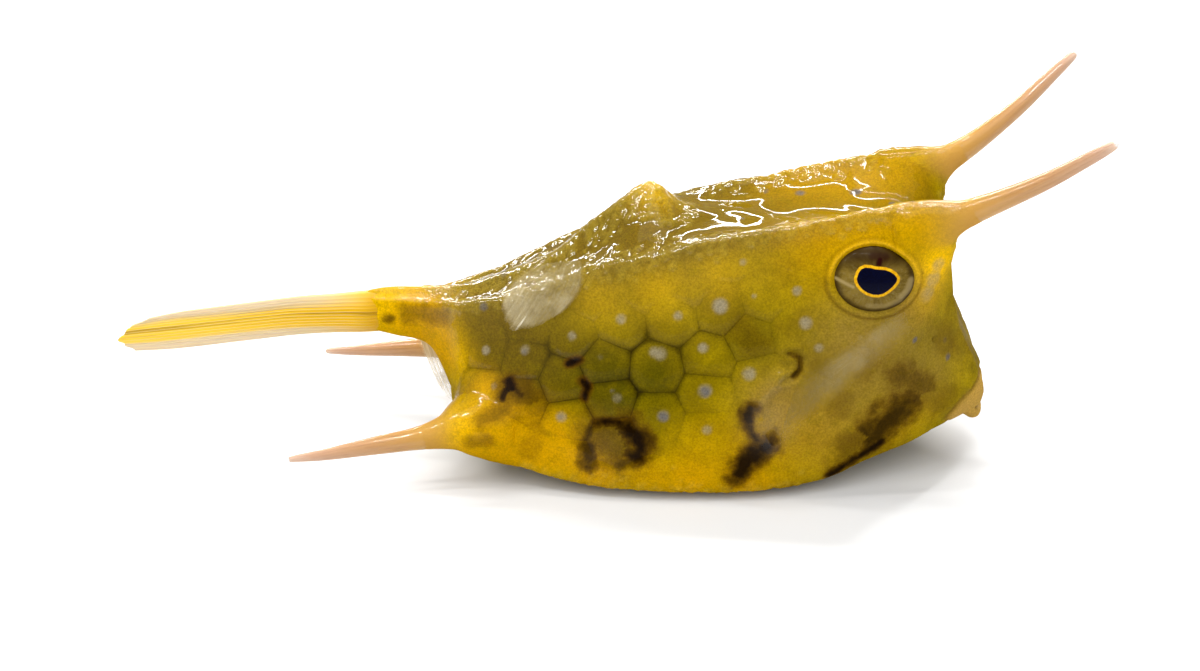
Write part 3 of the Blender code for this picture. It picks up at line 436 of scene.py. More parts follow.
def lip_shell(rise, radius):
    """One lip's soft roll round half of the mouth; rise is 1 above and -1 below it."""
    path, frames, radii = [], [], []
    for share in np.linspace(0.0, 1.0, 40):
        turn = LIP_TURN_START + LIP_TURN * share
        thick = radius * (LIP_CORNER_SHARE + (1 - LIP_CORNER_SHARE) * math.sin(turn))
        outward = LIP_ACROSS * math.cos(turn) + LIP_UPWARD * rise * math.sin(turn)
        centre = LIP_PLACE + LIP_FORWARD * (thick + LIP_GAP)
        centre += LIP_ACROSS * math.cos(turn) * MOUTH_HALF_WIDTH
        centre += LIP_UPWARD * rise * (math.sin(turn) * MOUTH_HALF_HEIGHT + LIP_PARTING)
        path.append(centre)
        frames.append(turned_to(outward, LIP_FORWARD, outward.cross(LIP_FORWARD)))
        radii.append(thick)
    bm = bmesh.new()
    sweep(bm, path, frames, radii, 20)
    return bm


def fuse(shells, voxel):
    """One closed surface round several overlapping shells, which are freed."""
    bm = bmesh.new()
    for shell in shells:
        mesh = to_mesh(shell, "shell")
        bm.from_mesh(mesh)
        bpy.data.meshes.remove(mesh)
    holder = new_object("fusing", to_mesh(bm, "fusing"))
    remesh = holder.modifiers.new("Fuse", "REMESH")
    remesh.mode = "VOXEL"
    remesh.voxel_size = voxel
    remesh.adaptivity = 0.0
    depsgraph = bpy.context.evaluated_depsgraph_get()
    mesh = bpy.data.meshes.new_from_object(holder.evaluated_get(depsgraph))
    bpy.data.objects.remove(holder, do_unlink=True)
    return mesh


def divide_near(mesh, spots):
    """Divide the faces round some places once more; spots are (place, reach)."""
    bm = bmesh.new()
    bm.from_mesh(mesh)
    edges = set()
    for face in bm.faces:
        middle = face.calc_center_median()
        if any((middle - place).length < reach for place, reach in spots):
            edges.update(face.edges)
    bmesh.ops.subdivide_edges(bm, edges=list(edges), cuts=1, use_grid_fill=True)
    split_large_faces(bm)
    bm.to_mesh(mesh)
    bm.free()


def read_all(items, word, width=1, kind=np.float32):
    """Numbers that a mesh holds for its points, edges, corners or faces."""
    values = np.empty(len(items) * width, kind)
    items.foreach_get(word, values)
    return values.reshape(-1, width) if width > 1 else values


def mesh_points(mesh):
    """Places of a mesh's points."""
    return read_all(mesh.vertices, "co", 3).astype(float)


def set_points(mesh, points):
    """Move a mesh's points."""
    mesh.vertices.foreach_set("co", points.astype(np.float32).ravel())
    mesh.update()


def mesh_normals(mesh):
    """Outward directions at a mesh's points."""
    return read_all(mesh.vertex_normals, "vector", 3).astype(float)


def mesh_edges(mesh):
    """The two points of each edge."""
    return read_all(mesh.edges, "vertices", 2, np.int32)


def relax(values, edges, rounds, share):
    """Even out values over the mesh; share says how far each point moves."""
    count = np.maximum(np.bincount(edges.ravel(), minlength=len(values)), 1).astype(float)
    share = np.broadcast_to(share, len(values))[:, None]
    for _ in range(rounds):
        mean = np.column_stack([
            np.bincount(edges[:, 0], column[edges[:, 1]], len(values))
            + np.bincount(edges[:, 1], column[edges[:, 0]], len(values))
            for column in values.T
        ]) / count[:, None]
        values = values + (mean - values) * share
    return values


def relaxed(values, edges, rounds, share):
    """Even out one number for each point over the mesh."""
    return relax(values[:, None], edges, rounds, share)[:, 0]


def reach_of(tree, points, near=1.0):
    """Distance to a surface and its nearest point, for each point."""
    distance = np.full(len(points), near)
    foot = points.copy()
    for k, point in enumerate(points):
        place, _, _, length = tree.find_nearest(point, near)
        if place is not None:
            distance[k] = length
            foot[k] = place
    return distance, foot


def smooth_body(mesh, body_tree, roots):
    """Lay the fused surface on its shells again, with a soft fillet where they meet."""
    points = mesh_points(mesh)
    edges = mesh_edges(mesh)
    sizes = [fillet for _, _, _, fillet in roots]
    sizes.append(max(sizes))
    distances, feet = [], []
    for tree, low, high, fillet in (*roots, (body_tree, -np.inf, np.inf, sizes[-1])):
        margin = fillet + FILLET_MARGIN
        close = ((points > low - margin) & (points < high + margin)).all(axis=1)
        distance = np.full(len(points), 1.0)
        foot = points.copy()
        distance[close], foot[close] = reach_of(tree, points[close])
        distances.append(distance)
        feet.append(foot)
    distances = np.array(distances)
    order = np.argsort(distances, axis=0)
    row = np.arange(len(points))
    other = distances[order[1], row]
    fillet = np.minimum(np.array(sizes)[order[0]], np.array(sizes)[order[1]])
    settled = smooth_step(other, *SETTLE_RANGE)
    nearest = np.array(feet)[order[0], row]
    points = points + (nearest - points) * settled[:, None]
    points = relax(points, edges, 3, 0.5 * (1 - settled))
    set_points(mesh, points)
    share = np.clip(1 - other / fillet, 0.0, 1.0)
    lift = share**2 * fillet * FILLET_RISE
    points = points + mesh_normals(mesh) * lift[:, None]
    points = relax(points, edges, 6, 0.6 * smooth_step(share, 0.0, 0.3))
    points[:, 2] = np.maximum(points[:, 2], 0.0)
    set_points(mesh, points)
    return order[0]


# Marks of the right side, by pixel of the photograph: (x, y, radius in mm, strength)
PALE_SPOTS_AND_FACE_HIGHLIGHT = (
    (720, 306, 0.85, 1.0), (743, 262, 0.45, 0.6), (797, 291, 0.55, 0.8), (806, 323, 0.75, 0.8),
    (819, 348, 0.55, 0.6), (678, 316, 0.55, 0.7), (621, 319, 0.6, 0.8), (572, 336, 0.55, 0.7),
    (660, 354, 0.75, 0.7), (654, 352, 0.6, 0.7), (703, 348, 0.6, 0.8), (749, 374, 0.8, 0.7),
    (754, 296, 0.35, 0.5), (561, 417, 0.65, 0.7), (707, 430, 0.6, 0.6), (600, 357, 0.4, 0.3),
    (486, 350, 0.55, 0.8), (494, 386, 0.45, 0.5), (525, 350, 0.6, 0.6), (663, 416, 0.7, 0.6),
    (705, 391, 0.8, 0.7), (915, 340, 0.4, 0.4), (948, 356, 0.5, 0.4), (860, 338, 0.4, 0.3),
    # (939, 266), (934, 280) and (928, 294), down the front edge of the face, are a painted highlight.
    (617, 398, 0.6, 0.5), (939, 266, 1.0, 0.5), (934, 280, 1.1, 0.55), (928, 294, 1.1, 0.5),
)
BLUE_SPOTS = (
    (705, 392, 0.62, 0.9), (663, 417, 0.6, 0.9), (524.6, 352, 0.4, 0.6), (484, 306.6, 0.5, 0.8),
    (915, 340, 0.42, 0.8), (948, 357, 0.42, 0.9), (945, 340, 0.35, 0.5), (800, 193, 0.5, 0.8),
    (856, 192, 0.55, 0.9), (766, 192, 0.4, 0.7), (892, 203, 0.4, 0.8), (912, 201, 0.35, 0.7),
    (612, 391, 0.3, 0.5), (560, 417, 0.4, 0.5), (505, 276, 0.5, 0.5), (741, 219, 0.4, 0.5),
)
PLATE_CENTRES = (
    (603.5, 364), (609, 400.5), (656, 369), (560.5, 382), (568, 420), (522, 361.5), (573, 336), (619, 324),
    (672, 319), (721, 311), (709, 358), (750, 338), (706, 394), (657, 417), (613, 438), (707, 432),
    (523, 398), (486, 349), (484, 390), (528, 322), (760, 378), (690, 285), (640, 290), (590, 298),
    (765, 300),
)
SEAM_PATCHES = (
    (595, 382, 4.0, 0.8), (600, 385, 2.2, 0.5), (650, 395, 4.5, 0.4), (640, 345, 3.5, 0.35),
    (545, 380, 4.0, 0.5), (500, 385, 3.5, 0.8), (705, 375, 4.0, 0.3), (750, 335, 3.0, 0.5),
    (600, 425, 3.0, 0.6), (540, 345, 3.5, 0.3), (490, 350, 3.0, 0.5), (700, 330, 3.5, 0.3),
)

# Dark marks: a line of pixels, radius in mm and strength
BLOTCHES_AND_SHADE = (
    (((591, 428), (586, 441)), 0.55, 0.7), (((588, 448), (589, 461)), 1.05, 0.8),
    (((604, 438), (614, 448)), 2.2, 0.6), (((594, 424), (610, 421), (626, 424)), 0.6, 1.0),
    (((628, 425), (633, 436), (640, 447), (634, 457)), 1.3, 1.0), (((586, 463), (594, 464)), 0.7, 0.7),
    (((620, 465), (632, 462)), 0.7, 0.7), (((739, 474), (750, 461), (764, 445)), 1.35, 0.95),
    # The marks at (568, 364), (581, 380), (509, 381), (506, 391) and (513, 388) are painted shadow where
    # three plates meet.
    (((757, 440), (752, 431), (748, 415), (752, 408)), 0.7, 0.9), (((568, 364), (580, 359)), 0.4, 1.0),
    (((581, 380), (587, 388), (584, 398)), 0.42, 1.0), (((509, 381), (513, 389)), 0.65, 1.0),
    (((506, 391), (503, 397)), 0.45, 0.9), (((513, 388), (521, 396)), 0.7, 0.8),
    (((513, 393), (528, 399)), 1.5, 0.6), (((481, 423), (495, 416), (506, 408)), 0.8, 0.55),
    (((472, 443), (486, 441)), 0.7, 0.5), (((518, 410), (534, 406)), 1.3, 0.35),
    (((530, 452), (536, 444)), 0.8, 0.3), (((898, 374), (912, 381), (930, 388)), 1.1, 0.55),
    (((912, 366), (908, 378)), 0.7, 0.45), (((872, 440), (882, 424), (896, 412), (903, 408)), 2.0, 0.8),
    (((832, 474), (850, 462), (880, 443)), 0.7, 1.0), (((846, 452), (870, 436)), 1.6, 0.5),
    # The first mark on this line, along the gill opening, is painted shade in its groove.
    (((789, 354.4), (800, 358.6), (800.3, 369.8), (794, 376)), 0.28, 0.75),
    (((370, 316.8), (368, 317)), 0.5, 0.6), (((391, 318.6), (388, 319)), 0.5, 0.7),
    (((408, 314), (442, 316)), 0.9, 0.5), (((742, 330), (752, 340)), 1.2, 0.3),
    (((870, 360), (858, 376)), 0.8, 0.25), (((944, 335), (950, 345)), 1.1, 0.35),
    (((846, 400), (838, 412)), 0.8, 0.3), (((930, 395), (945, 400)), 1.5, 0.3),
)

# Soft patches of colour: (x, y, reach in mm, strength)
OLIVE = (
    (603, 366, 2.2, 1.0), (609, 401, 2.4, 1.0), (657, 372, 2.6, 0.35), (575, 340, 3.0, 0.45),
    (640, 340, 3.0, 0.3), (524, 361, 3.0, 0.5), (560, 381, 2.6, 0.65), (525, 398, 2.0, 0.6),
    (748, 337, 2.4, 0.7), (490, 335, 4.0, 0.35), (905, 385, 3.0, 0.7), (655, 415, 2.4, 0.35),
    (780, 330, 4.0, 0.15), (820, 380, 4.0, 0.2), (850, 430, 4.0, 0.2), (930, 345, 4.0, 0.12),
    (775, 420, 3.0, 0.3), (505, 290, 3.5, 0.35), (940, 372, 3.0, 0.12), (690, 375, 4.0, 0.3),
    (495, 352, 3.0, 0.8), (523, 375, 3.5, 0.6), (523, 394, 2.0, 1.0), (655, 385, 3.0, 0.4),
    (905, 383, 1.8, 0.6), (560, 400, 3.5, 0.3),
)
AMBER = (
    (522, 440, 3.4, 1.0), (560, 448, 3.2, 0.9), (470, 440, 4.0, 0.9), (600, 476, 2.6, 0.8),
    (690, 486, 2.6, 0.7), (750, 490, 2.8, 0.7), (880, 180, 5.0, 0.4), (790, 175, 6.0, 0.25),
    (447, 350, 2.5, 0.8), (820, 486, 3.0, 0.6), (448, 385, 2.0, 0.8), (650, 480, 2.4, 0.6),
    (498, 428, 2.4, 0.8), (425, 330, 3.0, 0.6), (484, 385, 1.6, 0.7), (400, 310, 4.0, 0.7),
    (430, 414, 3.5, 0.9), (420, 300, 3.0, 0.5), (928, 226, 3.5, 0.7), (735, 452, 4.0, 0.35),
    (800, 450, 5.0, 0.35), (900, 420, 4.0, 0.3), (870, 245, 3.5, 0.4), (815, 245, 3.5, 0.35),
    (690, 455, 3.0, 0.3),
)
YELLOW_AND_LIT_WALL = (
    (375, 305, 3.5, 0.7), (938, 262, 2.5, 0.5), (655, 187, 2.5, 0.6), (945, 262, 2.6, 0.6),
    # (895, 165), on the far wall of the back, is painted light.
    (640, 490, 2.6, 0.4), (740, 492, 2.8, 0.4), (895, 165, 3.0, 0.2), (660, 290, 2.5, 0.3),
    (720, 275, 2.5, 0.25), (600, 300, 2.5, 0.2), (455, 435, 2.5, 0.6), (930, 300, 2.0, 0.3),
    (460, 360, 1.8, 0.4), (440, 400, 2.0, 0.5),
)
TAN_AND_FACE_HIGHLIGHT = (
    (850, 350, 5.0, 0.5), (900, 340, 4.0, 0.4), (880, 400, 5.0, 0.45), (800, 400, 4.0, 0.4),
    (930, 290, 3.0, 0.5), (762, 400, 2.5, 0.4), (850, 320, 3.0, 0.4), (820, 440, 4.0, 0.35),
    # (912, 298) and (920, 280), on the front edge of the face, are a painted highlight.
    (912, 298, 2.2, 0.9), (920, 280, 1.8, 0.6), (610, 440, 2.5, 0.4), (640, 240, 7.0, 0.5),
    (560, 265, 6.0, 0.4), (720, 235, 6.0, 0.4), (500, 300, 4.0, 0.5), (779, 400, 2.0, 0.6),
    (945, 350, 4.0, 0.4), (930, 385, 3.0, 0.3),
)
WET = (
    (440, 424, 1.0, 0.6), (520, 405, 0.8, 0.5), (772, 425, 2.4, 1.0), (600, 450, 2.0, 0.3),
    (480, 435, 1.2, 0.4), (656, 357, 0.6, 0.5), (500, 300, 4.0, 1.0), (470, 290, 4.0, 1.0),
    (625, 200, 3.5, 1.0), (590, 215, 4.0, 1.0), (560, 240, 4.0, 1.0), (475, 404, 1.4, 0.9),
)
CRACKLE = (
    (480, 288, 4.0, 1.0), (530, 262, 4.0, 0.9), (590, 215, 3.5, 0.8), (640, 192, 3.5, 1.0),
    (450, 300, 3.0, 0.7), (700, 275, 3.0, 0.5), (770, 255, 3.0, 0.4), (600, 290, 3.0, 0.5),
    (766, 430, 2.0, 0.7), (600, 460, 3.0, 0.3),
)

# Lines and outlines by pixel: water on the ridge, lips, gill opening, fin root and pupil
RIDGE_GLITTER = (
    (595, 267), (640, 256), (659, 252), (701, 241), (752, 240), (801, 232), (830, 223), (871, 213),
    (944, 206), (958, 204),
)
LIP_OUTLINE = (
    (982, 364), (979.5, 378), (973.7, 389), (961, 401.8), (946, 419), (960, 445), (1020, 445), (1020, 364),
)
GILL_HOOK = ((787.7, 354.4), (796, 353.5), (801, 360), (800.3, 369.8), (793.3, 376.8), (782, 381))
FIN_ROOT_LOBE = ((780, 380), (766, 393), (759, 408), (761, 432), (771, 446))
PUPIL_OUTLINE = (
    (857.1, 278.8), (858.9, 273.2), (861.3, 269.7), (865.2, 267.9), (870.4, 268.3), (875.4, 269.7),
    (880.3, 270.0), (885.2, 270.4), (890.1, 272.1), (894.3, 274.9), (897.0, 278.5), (896.4, 281.6),
    (892.9, 286.2), (888.0, 290.4), (883.1, 293.5), (878.2, 294.6), (873.2, 294.4), (867.6, 292.5),
    (862.7, 289.3), (859.2, 285.1), (857.5, 281.6),
)

# Marks on the iris: strength, radius in mm and a line of pixels
EYE_RED = ((1.0, 0.3, ((879, 264), (880, 260))), (0.6, 0.35, ((873, 256), (886, 257))))
EYE_PALE_AND_REFLECTION = (
    # The first is a pale mark; the second and third, on the lower right, are a painted reflection of the
    # cornea's edge.
    (0.8, 0.16, ((836, 278), (853, 287))), (0.6, 0.3, ((911, 280), (908, 289), (901, 297))),
    (0.35, 0.25, ((868, 306), (885, 306), (900, 300))),
)


def to_right(points):
    """All points on the right side, those of the left mirrored."""
    return np.column_stack((points[:, 0], -np.abs(points[:, 1]), points[:, 2]))


def fold_over(points):
    """All points on the right side; those of the left are shifted so that the sides differ."""
    x, z = points[:, 0] / MM, points[:, 2] / MM
    shift = np.column_stack((
        1.3 * np.sin(0.35 * x + 1.0) + 0.8 * np.sin(0.6 * z), np.zeros(len(x)),
        1.2 * np.sin(0.3 * x + 0.2 * z),
    )) * MM
    return to_right(points) + shift * smooth_step(points[:, 1], 0.0, 4 * MM)[:, None]


def marks_seen(points, tree, marks):
    """For each mark, the points' distances from it in its own reach, and its strength."""
    for px, py, reach, strength in marks:
        for place in seen_line(tree, ((px, py),)):
            yield np.linalg.norm(points - place, axis=1) / (reach * MM), strength


def patch_mask(points, tree, patches):
    """Sum of soft round patches of colour."""
    seen = marks_seen(points, tree, patches)
    return np.clip(sum(strength * bell(share, 1.0) for share, strength in seen), 0.0, 1.0)


def spot_mask(points, tree, spots):
    """Round spots, and the painted highlight among them, that fade outward; the shader cuts them to an
    uneven edge.
    """
    mask = np.zeros(len(points))
    for share, strength in marks_seen(points, tree, spots):
        mask = np.maximum(mask, strength * (1 - smooth_step(share, 0.35, 1.3)))
    return mask


def piece_distance(points, first, second):
    """Distance from each point to one straight piece of a line."""
    run = second - first
    share = np.clip(((points - first) @ run) / max(run @ run, 1e-15), 0.0, 1.0)
    return np.linalg.norm(points - first - share[:, None] * run, axis=1)


def line_distance(points, line):
    """Distance from each point to a line of straight pieces."""
    best = np.full(len(points), 1.0)
    for first, second in zip(line, line[1:]):
        best = np.minimum(best, piece_distance(points, first, second))
    return best


def seen_line(tree, pixels):
    """Places where the camera sees some pixels, those of the left side folded over."""
    places = [place for place in (seen_at(tree, pixel)[0] for pixel in pixels) if place is not None]
    return list(fold_over(np.array(places))) if places else []


def blotch_mask(points, tree, blotches):
    """Dark blotches and painted shade along short lines: a field that falls outward from 1 and its
    strength.
    """
    field = np.zeros(len(points))
    strengths = np.zeros(len(points))
    for line, radius, strength in blotches:
        places = seen_line(tree, line)
        if len(places) < 2:
            continue
        near = np.clip(1 - line_distance(points, places) / (1.9 * radius * MM), 0.0, 1.0)
        better = near * (0.5 + 0.5 * strength) > field * (0.5 + 0.5 * strengths)
        field = np.where(better, near, field)
        strengths = np.where(better, strength, strengths)
    return field, strengths


def ripples(points):
    """Slow waves of the wet back, in metres."""
    x, y = points[:, 0] / MM, points[:, 1] / MM
    waves = np.sin(0.55 * x + 0.9 * y + 0.7 * np.sin(0.35 * x)) + np.sin(0.8 * x - 0.6 * y + 1.7)
    waves += 0.6 * np.sin(1.3 * x + 1.1 * y + np.sin(0.9 * y)) + 0.5 * np.sin(0.3 * x - 1.7 * y)
    return 0.06 * MM * waves


def keep_seams(mesh, points, centres):
    """Store each face corner's distance to the seam between its two nearest plates."""
    here = points[read_all(mesh.loops, "vertex_index", kind=np.int32)]
    totals = read_all(mesh.polygons, "loop_total", kind=np.int32)
    face_of_corner = np.repeat(np.arange(len(totals)), totals)
    middles = np.column_stack([np.bincount(face_of_corner, column) / totals for column in here.T])
    pair, _ = three_nearest(middles, centres)
    first, second = (
        np.linalg.norm(here - centres[pair[face_of_corner, k]], axis=1) for k in (0, 1)
    )
    keep_attribute(mesh, "seam", (second - first) / (2 * MM), domain="CORNER")


def paint(red, green, blue, share=0.85):
    """Base colour that looks like a screen colour under the studio light."""
    return tuple(share * (level / 255) ** 2.2 for level in (red, green, blue))


SCUTES_ON_KEEL, SCUTES_ON_BELLY_LINE, SCUTES_ON_UPPER_RIDGE, SCUTES_ON_LOWER_RIDGE = 16, 12, 12, 14
SCUTES_ON_EACH_SIDE, SCUTE_SEED, SETTLING_ROUNDS = 112, 13, 30
ROWS_START, ROWS_LENGTH = 0.04, 0.86
SEEN_PLATE_RADIUS, SEEN_PLATE_REACH = 2.45 * MM, 3.7 * MM
GRID_ALONG, GRID_AROUND = 132, 160


def settle_scutes(tree):
    """Centres of the right half's plates, and which of them are seen in the photograph."""
    along = (np.arange(GRID_ALONG) + 0.5) / GRID_ALONG
    around = (np.arange(GRID_AROUND // 2) + 0.5) / GRID_AROUND
    cell_along, cell_around = (grid.ravel() for grid in np.meshgrid(along, around, indexing="ij"))
    points = skin(cell_along, cell_around)
    down_the_body = skin(cell_along + 0.5 / GRID_ALONG, cell_around) - points
    round_the_body = skin(cell_along, cell_around + 0.5 / GRID_AROUND) - points
    area = np.linalg.norm(np.cross(down_the_body, round_the_body), axis=1)
    rows = (
        (KEEL_LINE, SCUTES_ON_KEEL), (BELLY_LINE, SCUTES_ON_BELLY_LINE),
        (AROUND_KNOTS[UPPER_RIDGE], SCUTES_ON_UPPER_RIDGE),
        (AROUND_KNOTS[LOWER_RIDGE], SCUTES_ON_LOWER_RIDGE),
    )
    centres = [
        skin([ROWS_START + ROWS_LENGTH * (k + 0.5) / count], [line])[0]
        for line, count in rows for k in range(count)
    ]
    in_rows = len(centres)
    centres += [np.array(seen_at(tree, pixel)[0]) for pixel in PLATE_CENTRES]
    kept = len(centres)
    draw = random.Random(SCUTE_SEED)
    chances = np.cumsum(area) / area.sum()
    free = SCUTES_ON_EACH_SIDE - len(PLATE_CENTRES)
    for k in range(free):
        centres.append(points[np.searchsorted(chances, (k + draw.random()) / free)])
    centres = np.array(centres)
    for _ in range(SETTLING_ROUNDS):
        owner = np.argmin(((points[:, None] - centres[None]) ** 2).sum(axis=2), axis=1)
        for k in np.unique(owner[owner >= kept]):
            mine = owner == k
            middle = np.average(points[mine], axis=0, weights=area[mine])
            centres[k] = points[np.argmin(((points - middle) ** 2).sum(axis=1))]
    seen = centres[in_rows:kept]
    gaps = np.linalg.norm(centres[:, None] - seen[None], axis=2).min(axis=1)
    is_seen = gaps < 1e-9
    keep = is_seen | (gaps > SEEN_PLATE_REACH)
    return centres[keep], is_seen[keep]


def three_nearest(points, centres):
    """Indices of and distances to the three nearest centres."""
    nearest = np.empty((len(points), 3), int)
    distances = np.empty((len(points), 3))
    for start in range(0, len(points), 20000):
        block = points[start:start + 20000]
        gaps = np.sqrt(((block[:, None] - centres[None]) ** 2).sum(axis=2))
        order = np.argpartition(gaps, 2, axis=1)[:, :3]
        found = np.take_along_axis(gaps, order, axis=1)
        by_size = np.argsort(found, axis=1)
        nearest[start:start + 20000] = np.take_along_axis(order, by_size, axis=1)
        distances[start:start + 20000] = np.take_along_axis(found, by_size, axis=1)
    return nearest, distances


# Number of beads, their line, its start and end along the body, their spread round it and the
# smallest and largest radius in mm
BEAD_ROWS = (
    (700, AROUND_KNOTS[UPPER_RIDGE], 0.22, 0.86, 0.012, 0.2, 0.38),
    (420, KEEL_LINE, 0.5, 0.9, 0.02, 0.22, 0.4),
    (260, AROUND_KNOTS[LOWER_RIDGE], 0.3, 0.85, 0.01, 0.2, 0.3),
)


def bead_places(seed=4):
    """Small hard beads along the ridges and on the rear of the keel."""
    draw = random.Random(seed)
    beads = []
    for count, line, start, end, spread, smallest, largest in BEAD_ROWS:
        for _ in range(count):
            beads.append((
                draw.uniform(start, end), line + draw.gauss(0.0, spread),
                draw.uniform(smallest, largest),
            ))
    along, around, radius = np.array(beads).T
    along = np.concatenate((along, along + 0.004))
    around = np.concatenate((around, -around))
    return skin(along, around), np.concatenate((radius, radius)) * MM


def bead_lift(points, places, radii):
    """Height of the beads at each point."""
    tree = KDTree(len(places))
    for k, place in enumerate(places):
        tree.insert(place, k)
    tree.balance()
    lift = np.zeros(len(points))
    for k, point in enumerate(points):
        _, index, distance = tree.find(point)
        radius = radii[index] * 1.3
        if distance < radius:
            lift[k] = 0.45 * radii[index] * (1 - (distance / radius) ** 2)
    return lift


def eye_frame():
    """Middle, outward direction and rotation of the right eye."""
    point, normal = flank_place(EYE_X, EYE_Z)
    return point, normal, facing(normal)


def eye_level(points):
    """Place of folded points in the right eye's own frame, in metres."""
    point, _, turn = eye_frame()
    return (points - np.array(point)) @ np.array(turn.to_3x3())


def plain_skin():
    """The skin before its reliefs, the body's own surface and the shell under each point."""
    body = body_shell()
    body_tree = BVHTree.FromBMesh(body)
    grown = [
        (root_shell(line, cut, side), fillet)
        for side in (RIGHT, -RIGHT)
        for line, cut, fillet in (
            (HORN_LINE, HORN_CUT, HORN_FILLET), (SPINE_LINE, SPINE_CUT, SPINE_FILLET),
        )
    ]
    for rise, radius in ((1.0, UPPER_LIP_RADIUS), (-1.0, LOWER_LIP_RADIUS)):
        grown.append((lip_shell(rise, radius), LIP_FILLET))
    described = []
    for shell, fillet in grown:
        spots = np.array([vert.co for vert in shell.verts])
        described.append((BVHTree.FromBMesh(shell), spots.min(axis=0), spots.max(axis=0), fillet))
    mesh = fuse([body, *(shell for shell, _ in grown)], VOXEL)
    eye, _, _ = eye_frame()
    left_eye = Vector((eye.x, -eye.y, eye.z))
    divide_near(mesh, ((LIP_PLACE, FINE_MOUTH), (eye, FINE_EYE), (left_eye, FINE_EYE)))
    return mesh, body_tree, smooth_body(mesh, body_tree, described)


def plate_relief(points, body_tree):
    """Plates' centres, their domes and grooves from 0 to 1, and the gap round a seen plate."""
    right_centres, right_seen = settle_scutes(body_tree)
    off_middle = np.abs(right_centres[:, 1]) > 0.05 * MM
    left_centres = right_centres[off_middle] * np.array((1.0, -1.0, 1.0))
    centres = np.concatenate((right_centres, left_centres))
    is_seen = np.concatenate((right_seen, right_seen[off_middle]))
    nearest, distances = three_nearest(points, centres)
    to_seam = (distances[:, 1] - distances[:, 0]) / 2
    to_corner = (distances[:, 2] - distances[:, 0]) / 2
    near_both = np.exp(-to_seam / CORNER_ROUNDING) + np.exp(-to_corner / CORNER_ROUNDING)
    edge = np.maximum(PLATE_MARGIN - CORNER_ROUNDING * np.log(near_both), 0.0)
    past_disc = np.where(is_seen[nearest[:, 0]], distances[:, 0] - SEEN_PLATE_RADIUS, -1.0)
    edge = np.minimum(edge, np.maximum(-past_disc, 0.0))
    gap = smooth_step(past_disc, -0.1 * MM, 0.3 * MM)
    dome = 1 - (1 - np.clip(edge / DOME_REACH, 0.0, 1.0)) ** 2
    return centres, dome, bell(to_seam, GROOVE_WIDTH), gap


